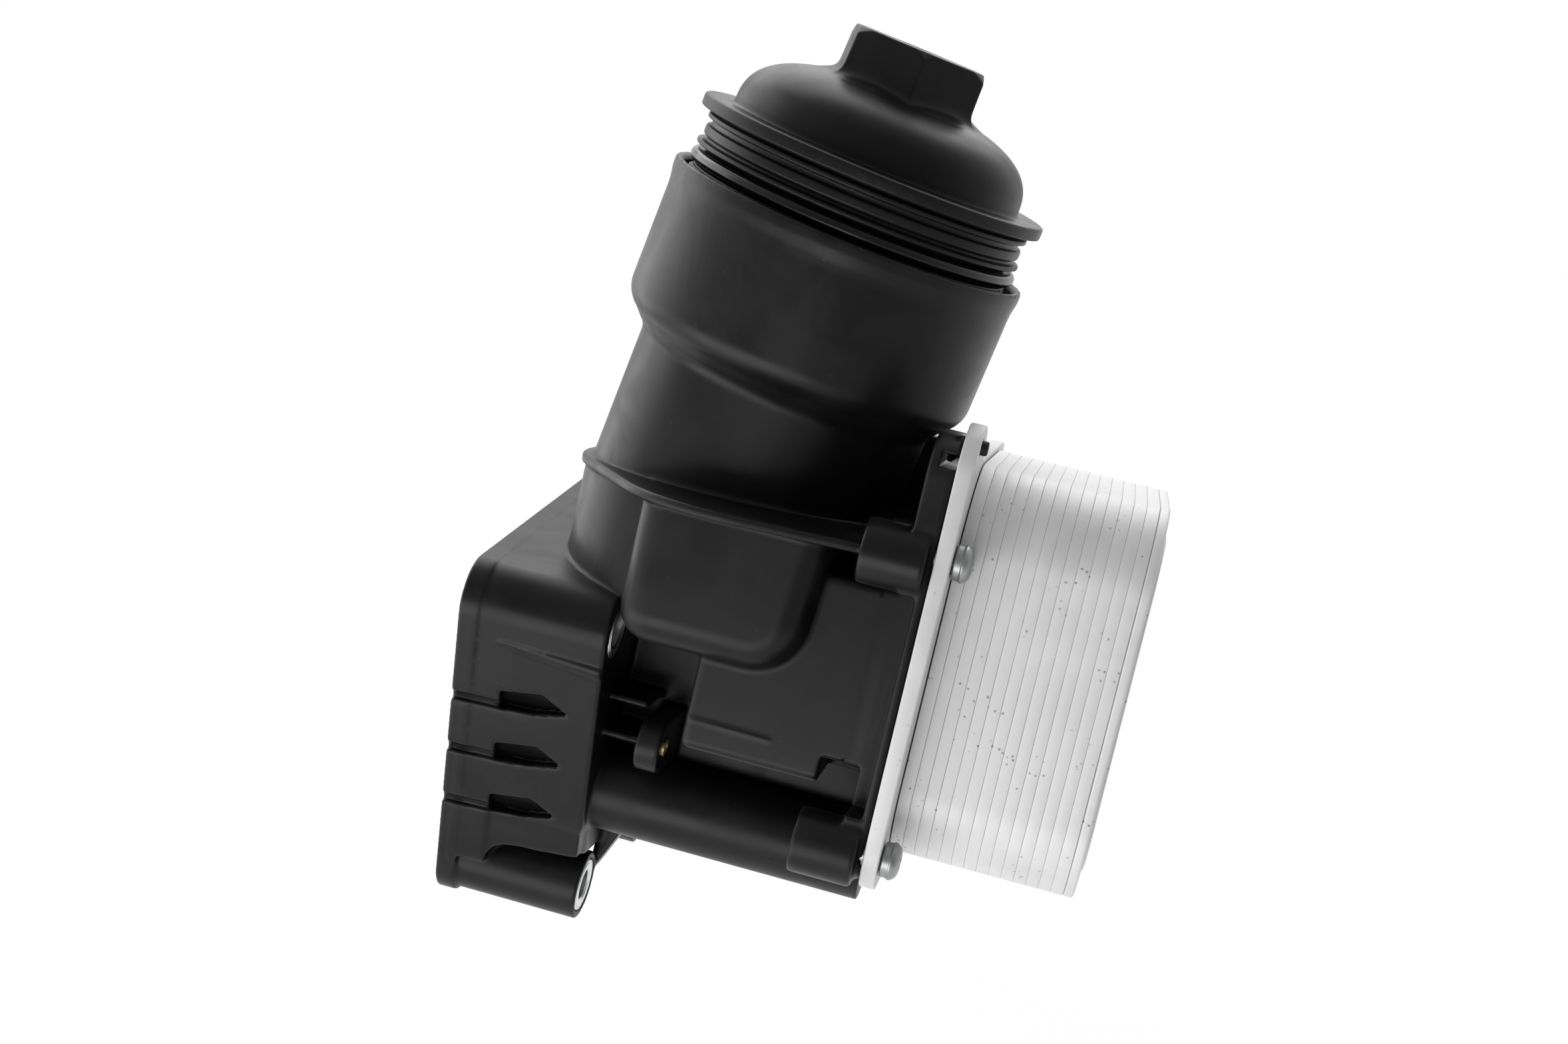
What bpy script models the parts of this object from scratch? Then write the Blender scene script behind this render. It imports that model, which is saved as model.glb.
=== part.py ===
# An engine's oil filter module: a moulded housing with a screw-on cap over a filter
# cartridge, a boxed engine flange and a stacked-plate oil cooler.
#
# X = 0 is the face that bolts to the engine, +X runs along the bolts towards the cooler
# and +Z is up along that face.  The sizes below are in millimetres.
import math

import bmesh
import bpy
from mathutils import Matrix, Vector

MM = 0.001
GAP = 0.3                        # clearance between pieces that touch
PROBE = 1.0                      # how far a cutter reaches past the face that it opens
SINK = 1.5                       # how far joined shapes reach into each other

# Filter bowl.  Its axis leans towards the cooler and towards the front, and its heights
# are measured along that axis from the body's flat top.
BOWL_FOOT = (57.0, 0.0)
LEAN_X = 10.2
LEAN_Y = 5.1
RIM_HEIGHT = 76.0
RIM_RADIUS = 48.2
RIM_BAND = 3.0
UPPER_RADIUS = 47.6
LOWER_RADIUS = 40.5
SHOULDER_TOP = 41.0
SHOULDER_FOOT = 32.0
BORE_RADIUS = 45.7
BORE_FOOT = 43.0
CHAMBER_RADIUS = 37.4
CHAMBER_TOP = 34.0
CHAMBER_FLOOR = -12.0
DRAIN_RADIUS = 8.5
DRAIN_DEPTH = 26.0

# Screw cap, shown part unscrewed
THREAD_PITCH = 4.0
CAP_OPEN = 14.0                  # flange's underside above the rim, as shown
CAP_EXTRA_LIFT = 2.0             # further lift before the thread lets go
CAP_FLANGE_RADIUS = 46.9
CAP_FLANGE_THICK = 3.3
DOME_RADIUS = 39.3
DOME_HEIGHT = 17.4
CAP_WALL = 3.0
HEX_ACROSS = 32.0
HEX_HEIGHT = 12.2
HEX_TURN = 15.0
COLLAR_RADIUS = 42.6             # body under the flange, at the bottom of its grooves
RIBS = ((1.7, 1.7, 44.2), (5.4, 2.8, 43.8), (8.6, 1.5, 44.7))   # drop, width, radius
SEAL_DROP = 12.1                 # sealing ring's centre below the flange
SEAL_SECTION = 1.75              # radius of its cord
SEAL_REACH = 45.1
SKIRT_RADIUS = 43.4
SKIRT_LENGTH = 12.0
SKIRT_WALL = 3.2

# Filter cartridge
ELEMENT_RADIUS = 35.3
ELEMENT_RISE = 1.0               # cartridge's top above the cap flange's underside
ELEMENT_TOP = RIM_HEIGHT + CAP_OPEN + ELEMENT_RISE
ELEMENT_FOOT = 6.0
DISC_THICK = 2.4
PLEATS = 36
PLEAT_DEPTH = 8.0
TUBE_RADIUS = 17.5
TUBE_WALL = 2.0
TUBE_TOP_PLUG = 5.0

# Bypass valve in the cartridge's upper end
VALVE_RADIUS = 9.5
VALVE_STEM_RADIUS = 2.4
VALVE_TRAVEL = 5.0

# Engine flange: bolt bosses as (y, z, radius) seen along the bolts
FLANGE_DEPTH = 39.5
FLANGE_PLATE = 5.5
BOSS_TOP = (-34.5, 38.7, 11.0)
BOSS_FOOT = (-6.0, -38.0, 10.5)
BOSS_REAR_TOP = (66.0, 54.2, 11.0)
BOSS_REAR_FOOT = (56.0, -32.0, 10.5)
FOOT_BARREL = 9.4                # foot boss beyond the plate
SKIRT_EDGE_Z = -31.0             # where the box's front wall ends above the foot boss
SKIRT_ROUND = 1.5
BOX_INSET = 0.4                  # box's walls stand back from the plate's edge
SLEEVE_RADIUS = 7.2
SLEEVE_BORE = 4.25
SLEEVE_RECESS = 0.9
BOLT_WAY = 8.6                   # clear radius round the front top bolt's head

# Hidden side that meets the engine: oil ports as (y, z, radius) and coring pockets
ENGINE_PORTS = ((14.0, 24.0, 9.0), (27.0, -10.0, 8.0))
PORT_DEPTH = 30.0
GROOVE_OFFSET = 3.0              # gasket groove beyond the port's edge
GROOVE_WIDTH = 2.6
GROOVE_DEPTH = 1.8
CORING = (((-26.0, 8.0), (-6.0, 30.0)), ((-12.0, -25.0), (6.0, -6.0)),
          ((34.0, 8.0), (56.0, 28.0)), ((24.0, 41.0), (46.0, 52.0)),
          ((-16.0, 39.0), (6.0, 47.0)))
CORING_DEPTH = 26.0
CORING_ROUND = 2.5

# Body between the flange and the cooler
BODY_TOP = 79.0
TOP_PLATE = 2.6
NECK_RADIUS = 42.4
NECK_FOOT = 42.0
PANEL_Y = (-50.0, 42.0)
PANEL_X = (64.0, 114.6)
PANEL_Z = (17.5, 69.2)
PANEL_ROUND = 3.0
LOBE_X = (42.0, 90.2)
LOBE_Y = -57.5
LOBE_Z = 41.4
LOBE_ROUND = 8.5
SADDLE_Y = (-21.0, 40.0)
SADDLE_Z = (-6.0, 48.0)
DUCT = (-12.0, -7.6)             # y and z of the duct's axis
DUCT_RADIUS = 11.6
DUCT_BORE = 8.4

# Oil cooler
COOLER_X = 115.6                 # the housing's flat face that carries it
COOLER_FLANGE = 6.6
BASE_THICK = 4.0
BASE_Y = (-62.0, 58.0)
BASE_Z = (-4.0, 113.0)
BASE_ROUND = 12.0
STACK_Y = (-50.0, 46.0)
STACK_Z = (6.8, 102.4)
STACK_ROUND = 21.0
STACK_END = 168.0
CORE_PLATES = 14
COVER_THICK = 3.4
PORT_YZ = ((-18.0, 80.0), (14.0, 80.0), (-18.0, 28.0), (14.0, 28.0))
PORT_RADIUS = 7.0
SCREW_Y = (-56.0, 52.0)
SCREW_Z = (5.4, 80.1)
SCREW_BOSS = 8.2
SCREW_BOSS_LENGTH = 17.5
SCREW_SHANK = 3.0
SCREW_HEAD = 4.4
SCREW_HEAD_HEIGHT = 4.4
SCREW_GRIP = 13.0

EAR_WIDTH = 24.0
PEG = (-53.0, 107.8)
PEG_RADIUS = 1.9
LUG = (-30.0, 11.3)
LUG_X = (51.0, 56.6)
LUG_RADIUS = 7.0
INSERT_RADIUS = 2.6
INSERT_BORE = 1.5
GILL_Z = (11.3, -3.8, -19.3)
GILL_X = (14.0, 31.5)
GILL_DEPTH = 5.5
GILL_HEIGHT = 8.3
VALVE_HOLE = 7.5
STEM_LENGTH = 26.0
CAGE_DROP = 18.0
SPRING_RADIUS = 5.2
SPRING_WIRE = 0.5
PLUG_DROP = 27.0                 # drain plug's foot below the cartridge
PLUG_LENGTH = 9.0
PLUG_STEM = 4.6
DRAIN_SEAL_SECTION = 1.0
RETAINER_RADIUS = 33.0           # bead in the cap that holds the cartridge's upper disc

scene = bpy.context.scene
COLLECTIONS = {}
MATERIALS = {}


def start_empty():
    for old in list(bpy.data.objects):
        bpy.data.objects.remove(old)
    for title in ("oil_filter_module", "cutters"):
        COLLECTIONS[title] = bpy.data.collections.new(title)
        scene.collection.children.link(COLLECTIONS[title])


def material(title, colour, roughness, metallic=0.0):
    made = bpy.data.materials.new(title)
    made.use_nodes = True
    shader = made.node_tree.nodes["Principled BSDF"]
    shader.inputs["Base Color"].default_value = (*colour, 1.0)
    shader.inputs["Roughness"].default_value = roughness
    shader.inputs["Metallic"].default_value = metallic
    MATERIALS[title] = made
    return made


def make_materials():
    material("black_nylon", (0.016, 0.016, 0.018), 0.55)
    material("black_rubber", (0.008, 0.008, 0.008), 0.30)
    material("cooler_aluminium", (0.80, 0.80, 0.79), 0.38, 1.0)
    material("zinc_steel", (0.62, 0.63, 0.64), 0.35, 1.0)
    material("brass", (0.72, 0.53, 0.26), 0.35, 1.0)
    material("filter_paper", (0.72, 0.55, 0.27), 0.90)
    material("end_cap_felt", (0.20, 0.24, 0.20), 0.85)
    material("green_nylon", (0.05, 0.16, 0.09), 0.55)


def mm_vector(x, y, z):
    return Vector((x, y, z)) * MM


def bowl_place():
    """The bowl's axis as a placement: local Z runs up the axis."""
    axis = Vector((math.sin(math.radians(LEAN_X)), -math.sin(math.radians(LEAN_Y)), 1.0))
    turn = Vector((0, 0, 1)).rotation_difference(axis.normalized())
    return Matrix.Translation(mm_vector(*BOWL_FOOT, BODY_TOP)) @ turn.to_matrix().to_4x4()


AXES = {
    "X": Matrix(((0, 0, 1, 0), (1, 0, 0, 0), (0, 1, 0, 0), (0, 0, 0, 1))),
    "Y": Matrix(((1, 0, 0, 0), (0, 0, -1, 0), (0, 1, 0, 0), (0, 0, 0, 1))),
    "Z": Matrix.Identity(4),
}


def place_object(name, mesh, matrix, finish=None):
    made = bpy.data.objects.new(name, mesh)
    made.matrix_world = matrix
    home = COLLECTIONS["oil_filter_module"]
    if finish is None:
        home = COLLECTIONS["cutters"]
        made.hide_render = True
        made.display_type = "WIRE"
    else:
        mesh.materials.append(MATERIALS[finish])
    home.objects.link(made)
    return made


def smooth(mesh, degrees=35.0):
    mesh.shade_smooth()
    mesh.set_sharp_from_angle(angle=math.radians(degrees))


def circle(u, v, radius, steps=24, start=0.0):
    turn = math.tau / steps
    return [(u + radius * math.cos(start + i * turn), v + radius * math.sin(start + i * turn))
            for i in range(steps)]


def belt(rounds, step=15.0):
    """The outline round circles (u, v, radius), given anticlockwise."""
    leaving = []
    for (u0, v0, r0), (u1, v1, r1) in zip(rounds, rounds[1:] + rounds[:1]):
        along = math.atan2(v1 - v0, u1 - u0)
        swing = math.acos((r0 - r1) / math.hypot(u1 - u0, v1 - v0))
        leaving.append(along - swing)
    points = []
    for (u, v, r), arrive, leave in zip(rounds, leaving[-1:] + leaving[:-1], leaving):
        sweep = (leave - arrive) % math.tau
        count = max(1, math.ceil(math.degrees(sweep) / step))
        for i in range(count + 1):
            angle = arrive + sweep * i / count
            points.append((u + r * math.cos(angle), v + r * math.sin(angle)))
    return points


def rounded_box(low, high, radius, step=15.0):
    """A rounded rectangle's outline between two corners (u, v)."""
    (u0, v0), (u1, v1) = low, high
    return belt([(u0 + radius, v0 + radius, radius), (u1 - radius, v0 + radius, radius),
                 (u1 - radius, v1 - radius, radius), (u0 + radius, v1 - radius, radius)], step)


def prism(name, outlines, low, high, axis="X", finish=None, rounding=0.0, turn=None):
    """Outlines in the two other directions, extruded from low to high along an axis."""
    curve = bpy.data.curves.new(name, "CURVE")
    curve.dimensions = "2D"
    curve.fill_mode = "BOTH"
    curve.extrude = ((high - low) / 2 - rounding) * MM
    curve.bevel_depth = rounding * MM
    curve.offset = -rounding * MM
    curve.bevel_resolution = 0
    for outline in outlines:
        spline = curve.splines.new("POLY")
        spline.points.add(len(outline) - 1)
        for point, (u, v) in zip(spline.points, outline):
            point.co = (u * MM, v * MM, 0.0, 1.0)
        spline.use_cyclic_u = True
    guide = bpy.data.objects.new(name + "_outline", curve)
    scene.collection.objects.link(guide)
    graph = bpy.context.evaluated_depsgraph_get()
    mesh = bpy.data.meshes.new_from_object(guide.evaluated_get(graph))
    mesh.name = name
    bpy.data.objects.remove(guide)
    sheet = bmesh.new()
    sheet.from_mesh(mesh)
    bmesh.ops.remove_doubles(sheet, verts=sheet.verts, dist=1e-6)
    bmesh.ops.recalc_face_normals(sheet, faces=sheet.faces)
    sheet.to_mesh(mesh)
    sheet.free()
    mesh.materials.clear()
    middle = (low + high) / 2
    if axis == "Y":
        middle = -middle
    matrix = AXES[axis] @ Matrix.Translation(mm_vector(0, 0, middle))
    if turn is not None:
        matrix = turn @ matrix
    smooth(mesh)
    return place_object(name, mesh, matrix, finish)


def turned(name, profile, matrix, finish=None, steps=48):
    """A (radius, height) profile turned about the placement's Z.  It runs down the outer
    side; a profile that starts and ends off the axis is closed into a ring."""
    mesh = bpy.data.meshes.new(name)
    ring = profile[0][0] > 0.0
    count = len(profile)
    edges = [(i, i + 1) for i in range(count - 1)]
    if ring:
        edges.append((count - 1, 0))
    mesh.from_pydata([(r * MM, 0.0, h * MM) for r, h in profile], edges, [])
    made = place_object(name, mesh, matrix, finish)
    screw = made.modifiers.new("turn", "SCREW")
    screw.steps = steps
    screw.render_steps = steps
    screw.use_merge_vertices = True
    screw.merge_threshold = 0.00001
    screw.use_smooth_shade = False
    return made


def box(name, low, high, rounding=0.0, segments=3, sharp=()):
    """A box between two corners.  Its edges are rounded, apart from those of the sides
    named in sharp, such as "+Z"."""
    size = Vector([high[i] - low[i] for i in range(3)]) * MM
    centre = Vector([(low[i] + high[i]) / 2 for i in range(3)]) * MM
    block = bmesh.new()
    bmesh.ops.create_cube(block, size=1.0)
    bmesh.ops.scale(block, vec=size, verts=block.verts)
    if rounding:
        kept = set()
        for side in sharp:
            way = "XYZ".index(side[1])
            sign = 1 if side[0] == "+" else -1
            kept |= {edge for edge in block.edges
                     if all(point.co[way] * sign > 0 for point in edge.verts)}
        edges = [edge for edge in block.edges if edge not in kept]
        bmesh.ops.bevel(block, geom=edges, offset=rounding * MM, segments=segments,
                        profile=0.5, affect="EDGES")
    mesh = bpy.data.meshes.new(name)
    block.to_mesh(mesh)
    block.free()
    return place_object(name, mesh, Matrix.Translation(centre))


def combine(target, tool, operation="UNION"):
    step = target.modifiers.new(tool.name, "BOOLEAN")
    step.operation = operation
    step.object = tool
    step.solver = "EXACT"


def cut(target, *tools):
    for tool in tools:
        combine(target, tool, "DIFFERENCE")


def join(target, *tools):
    for tool in tools:
        combine(target, tool)


def shear(tool, rule):
    """Move a prism's points by a rule on their world place in millimetres."""
    there = tool.matrix_world
    back = there.inverted()
    for point in tool.data.vertices:
        x, y, z = (there @ point.co) / MM
        point.co = back @ mm_vector(*rule(x, y, z))


def inset(boss):
    y, z, radius = boss
    return (y, z, radius - BOX_INSET)


def flange_front(z):
    """The y of the engine box's front wall at a height."""
    (y0, z0, r0), (y1, z1, r1) = inset(BOSS_TOP), inset(BOSS_FOOT)
    along = math.atan2(z1 - z0, y1 - y0)
    swing = math.acos((r0 - r1) / math.hypot(y1 - y0, z1 - z0))
    normal = along - swing
    y_start = y0 + r0 * math.cos(normal)
    z_start = z0 + r0 * math.sin(normal)
    return y_start + (z - z_start) * math.cos(along) / math.sin(along)


def along_x(x, y, z):
    """A placement whose local Z runs along the bolts."""
    return Matrix.Translation(mm_vector(x, y, z)) @ AXES["X"]


def bowl_outside():
    rounding = 8.0
    shoulder = []
    for i in range(5):
        angle = math.radians(50.0 * i / 4)
        shoulder.append((UPPER_RADIUS - rounding + rounding * math.cos(angle),
                         SHOULDER_TOP + SINK - rounding * math.sin(angle)))
    return [(0.0, RIM_HEIGHT), (RIM_RADIUS - 0.8, RIM_HEIGHT), (RIM_RADIUS, RIM_HEIGHT - 0.8),
            (RIM_RADIUS, RIM_HEIGHT - RIM_BAND), (UPPER_RADIUS, RIM_HEIGHT - RIM_BAND - 4.0),
            *shoulder, (LOWER_RADIUS + 1.0, SHOULDER_FOOT + 1.2),
            (LOWER_RADIUS + 0.1, SHOULDER_FOOT - 0.4), (LOWER_RADIUS, SHOULDER_FOOT - 3.0),
            (LOWER_RADIUS, CHAMBER_FLOOR), (0.0, CHAMBER_FLOOR)]


def bowl_inside():
    lead = 1.2
    return [(0.0, RIM_HEIGHT + PROBE), (BORE_RADIUS + lead + PROBE, RIM_HEIGHT + PROBE),
            (BORE_RADIUS, RIM_HEIGHT - lead),
            (BORE_RADIUS, BORE_FOOT), (CHAMBER_RADIUS, CHAMBER_TOP),
            (CHAMBER_RADIUS, CHAMBER_FLOOR + 3.0), (CHAMBER_RADIUS - 3.0, CHAMBER_FLOOR),
            (DRAIN_RADIUS + 1.0, CHAMBER_FLOOR), (DRAIN_RADIUS, CHAMBER_FLOOR - 1.0),
            (DRAIN_RADIUS, CHAMBER_FLOOR - DRAIN_DEPTH), (0.0, CHAMBER_FLOOR - DRAIN_DEPTH)]


BOSSES = {"front_top": BOSS_TOP, "front_foot": BOSS_FOOT,
          "rear_top": BOSS_REAR_TOP, "rear_foot": BOSS_REAR_FOOT}


def scallop_outline():
    """The box's lower front edge arches up beside a short apron at the plate."""
    edge = SKIRT_EDGE_Z
    apron = FLANGE_PLATE + 8.0
    arch = [(apron + 2.0, edge + 1.0), (apron + 6.0, edge + 2.6), (apron + 13.0, edge + 3.6),
            (FLANGE_DEPTH + PROBE, edge + 5.5)]
    return [(FLANGE_PLATE - 0.4, edge - 20.0), (FLANGE_DEPTH + PROBE, edge - 20.0),
            *reversed(arch), (apron, edge - 3.0), (FLANGE_PLATE - 0.4, edge - 4.0)]


def add_engine_flange(housing):
    outline = belt([BOSS_FOOT, BOSS_REAR_FOOT, BOSS_REAR_TOP, BOSS_TOP])
    plate = prism("flange_plate", [outline], 0.0, FLANGE_PLATE, rounding=0.6)
    low = SKIRT_EDGE_Z - 5.0
    skirt = (flange_front(low) + SKIRT_ROUND, low, SKIRT_ROUND)
    rear = (BOSS_REAR_FOOT[0], SKIRT_EDGE_Z + 8.0, BOSS_REAR_FOOT[2])
    walls = belt([skirt, inset(rear), inset(BOSS_REAR_TOP), inset(BOSS_TOP)])
    block = prism("flange_box", [walls], FLANGE_PLATE - SINK, FLANGE_DEPTH, rounding=0.8)
    scallop = prism("skirt_scallop", [scallop_outline()], -80.0, 40.0, "Y")
    cut(block, scallop)
    join(housing, plate, block)
    for place in ("front_foot", "rear_foot"):
        y, z, _ = BOSSES[place]
        barrel = prism("barrel_" + place, [circle(y, z, FOOT_BARREL, 24, 0.11)],
                       FLANGE_PLATE - SINK, FLANGE_DEPTH + 0.2)
        join(housing, barrel)


def add_body(housing):
    neck = prism("neck", [circle(*BOWL_FOOT, NECK_RADIUS, 48)], NECK_FOOT, BODY_TOP - 0.4, "Z")
    top = belt([(BOWL_FOOT[0] + 5.0, BOWL_FOOT[1] - 34.0, 30.0), (106.0, -47.0, 8.0),
                (106.0, 38.0, 8.0), (*BOWL_FOOT, NECK_RADIUS + 1.4)], 9.0)
    plate = prism("top_plate", [top], BODY_TOP - TOP_PLATE, BODY_TOP, "Z", rounding=0.7)
    lobe = box("lobe", (LOBE_X[0], LOBE_Y, LOBE_Z), (LOBE_X[1], 0.0, BODY_TOP - 1.0),
               LOBE_ROUND, 5, sharp=("+Z", "+Y"))
    panel = box("panel", (PANEL_X[0], PANEL_Y[0], PANEL_Z[0]),
                (PANEL_X[1], PANEL_Y[1], PANEL_Z[1]), PANEL_ROUND, 3, sharp=("+X",))
    saddle = box("saddle", (FLANGE_DEPTH - 8.0, SADDLE_Y[0], SADDLE_Z[0]),
                 (PANEL_X[1] - 2.0, SADDLE_Y[1], SADDLE_Z[1]), 2.0, 2)
    duct = prism("duct", [circle(*DUCT, DUCT_RADIUS, 32)], FLANGE_DEPTH - 6.0, COOLER_X - 2.0)
    join(housing, neck, plate, lobe, panel, saddle, duct)


def add_cooler_flange(housing):
    low = (BASE_Y[0] + 1.5, BASE_Z[0] + 1.5)
    high = (BASE_Y[1] - 1.5, BASE_Z[1] - 3.6)
    flange = prism("cooler_flange", [rounded_box(low, high, BASE_ROUND - 1.5, 18.0)],
                   COOLER_X - COOLER_FLANGE, COOLER_X)
    dip = prism("flange_dip", [rounded_box((BASE_Y[0] + EAR_WIDTH, BASE_Z[1] - 15.0),
                                           (BASE_Y[1] + 20.0, BASE_Z[1] + 20.0), 4.0, 30.0)],
                COOLER_X - COOLER_FLANGE - PROBE, COOLER_X + PROBE)
    cut(flange, dip)
    web = box("bowl_web", (PANEL_X[0], 26.0, PANEL_Z[1] - SINK),
              (COOLER_X - SINK, 30.0, BASE_Z[1] - 17.0))
    join(housing, flange, web)
    for number, (y, z) in enumerate(screw_places(), 1):
        boss = prism(f"screw_boss_{number}", [circle(y, z, SCREW_BOSS, 24, 0.13)],
                     COOLER_X - SCREW_BOSS_LENGTH, COOLER_X - SINK)
        join(housing, boss)
    peg = prism("locating_peg", [circle(*PEG, PEG_RADIUS, 16)],
                COOLER_X - SINK, COOLER_X + BASE_THICK + 2.0, rounding=0.4)
    join(housing, peg)


def add_lug(housing):
    lug = prism("lug", [belt([(LUG[0], LUG[1], LUG_RADIUS), (LUG[0] + 14.0, LUG[1], LUG_RADIUS)])],
                LUG_X[0], LUG_X[1], rounding=0.6)
    join(housing, lug)
    for number, (z, reach) in enumerate(((20.4, 50.2), (10.6, 52.5)), 1):
        rib = box(f"lug_rib_{number}", (FLANGE_DEPTH - SINK, -28.0, z - 0.9),
                  (reach, SADDLE_Y[0] + SINK, z + 0.9), 0.4, 2)
        join(housing, rib)
    clear = BOSS_FOOT[0] + SLEEVE_RADIUS + 1.0
    gusset = prism("foot_gusset", [[(FLANGE_DEPTH - SINK, BOSS_FOOT[1]), (47.5, -17.5),
                                    (FLANGE_DEPTH - SINK, -17.5)]], clear, clear + 12.0, "Y")
    join(housing, gusset)


def scoop(name, outline, z, depth, height):
    """A cutter for the flange's front wall: it slopes in downwards to a ledge at z."""
    front = flange_front(z + height) - 6.0
    tool = prism(name, [outline], front, flange_front(z) + depth, "Y")

    def slope(x, y, world_z):
        if y <= front + 0.01:
            return (x, y, world_z)
        reach = depth * (1.0 - (world_z - z) / (height + 0.6))
        return (x, flange_front(world_z) + reach, world_z)

    shear(tool, slope)
    return tool


def gill(number, z):
    """A pocket that runs to a point at its open end."""
    low, high = GILL_X
    outline = [(low, z), (low + 6.0, z), (high, z + GILL_HEIGHT * 0.53),
               (high - 5.0, z + GILL_HEIGHT), (low, z + GILL_HEIGHT * 0.66)]
    return scoop(f"gill_{number}", outline, z, GILL_DEPTH, GILL_HEIGHT)


def slit(number, z):
    """The shallow slot that tapers from the plate's edge to the pocket."""
    low, high = -PROBE, GILL_X[0] - 0.4
    outline = [(low, z), (high, z), (high, z + 0.8), (low, z + 3.8)]
    return scoop(f"slit_{number}", outline, z, 1.8, 3.8)


def cut_engine_face(housing):
    for number, (y, z, radius) in enumerate(ENGINE_PORTS, 1):
        port = prism(f"engine_port_{number}", [circle(y, z, radius, 28)], -PROBE, PORT_DEPTH)
        inner = radius + GROOVE_OFFSET
        groove = prism(f"gasket_groove_{number}", [circle(y, z, inner + GROOVE_WIDTH, 28),
                                                   circle(y, z, inner, 28)],
                       -PROBE, GROOVE_DEPTH)
        cut(housing, port, groove)
    for number, (low, high) in enumerate(CORING, 1):
        pocket = prism(f"coring_{number}", [rounded_box(low, high, CORING_ROUND, 30.0)],
                       -PROBE, CORING_DEPTH)
        cut(housing, pocket)


def cut_housing(housing):
    cut(housing, turned("bowl_cavity", bowl_inside(), bowl_place(), steps=40))
    for place, (y, z, _) in BOSSES.items():
        bore = prism("bore_" + place, [circle(y, z, SLEEVE_RADIUS + GAP)],
                     -PROBE, FLANGE_DEPTH + PROBE)
        seat = prism("seat_" + place, [circle(y, z, SLEEVE_RADIUS + 1.0)],
                     FLANGE_DEPTH - SLEEVE_RECESS, FLANGE_DEPTH + PROBE)
        cut(housing, bore, seat)
    cut_engine_face(housing)
    y, z, _ = BOSS_TOP
    way = prism("bolt_way", [circle(y, z, BOLT_WAY, 24, 0.07)], FLANGE_DEPTH + 0.5,
                PANEL_X[0] - 0.5)
    cut(housing, way)
    for number, z in enumerate(GILL_Z, 1):
        cut(housing, gill(number, z), slit(number, z + 0.2))
    for number, (y, z) in enumerate(screw_places(), 1):
        hole = prism(f"screw_hole_{number}", [circle(y, z, SCREW_SHANK + GAP, 16, 0.2)],
                     COOLER_X - SCREW_GRIP - 1.0, COOLER_X + PROBE)
        cut(housing, hole)
    notch = box("panel_notch", (99.4, PANEL_Y[0] - PROBE, SCREW_Z[0] + SCREW_BOSS - 2.0),
                (COOLER_X - COOLER_FLANGE + 0.5, -26.0, 24.3), 0.8, 2)
    slot = box("ear_slot", (111.4, BASE_Y[0], 101.6), (COOLER_X + PROBE, -30.0, 104.9))
    insert = prism("lug_hole", [circle(*LUG, INSERT_RADIUS + 0.0, 20)], LUG_X[0] - PROBE,
                   LUG_X[1] + PROBE)
    cut(housing, notch, slot, insert)


def make_housing():
    housing = turned("housing", bowl_outside(), bowl_place(), "black_nylon", 44)
    add_body(housing)
    add_engine_flange(housing)
    add_cooler_flange(housing)
    add_lug(housing)
    cut_housing(housing)
    return housing


def screw_places():
    return [(y, z) for z in SCREW_Z for y in SCREW_Y]


def make_sleeves():
    for place, (y, z, _) in BOSSES.items():
        ring = [(SLEEVE_BORE, FLANGE_DEPTH), (SLEEVE_RADIUS - 0.4, FLANGE_DEPTH),
                (SLEEVE_RADIUS, FLANGE_DEPTH - 0.4), (SLEEVE_RADIUS, 0.0), (SLEEVE_BORE, 0.0)]
        turned("sleeve_" + place, ring, along_x(0, y, z), "zinc_steel", 24)
    y, z = LUG
    ring = [(INSERT_BORE, LUG_X[1] + 0.5), (INSERT_RADIUS - GAP, LUG_X[1] + 0.5),
            (INSERT_RADIUS - GAP, LUG_X[0]), (INSERT_BORE, LUG_X[0])]
    turned("lug_insert", ring, along_x(0, y, z), "brass", 20)


def cap_place():
    return bowl_place() @ Matrix.Translation(mm_vector(0, 0, RIM_HEIGHT + CAP_OPEN))


def dome(radius, height, base, narrow, steps):
    """A rounded dome's profile, from its narrow top down to its foot."""
    power = 2.6
    points = []
    start = math.acos((narrow / radius) ** (power / 2))
    for i in range(steps + 1):
        angle = start * (1.0 - i / steps)
        points.append((radius * math.cos(angle) ** (2 / power),
                       base + height * math.sin(angle) ** (2 / power)))
    return points


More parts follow.
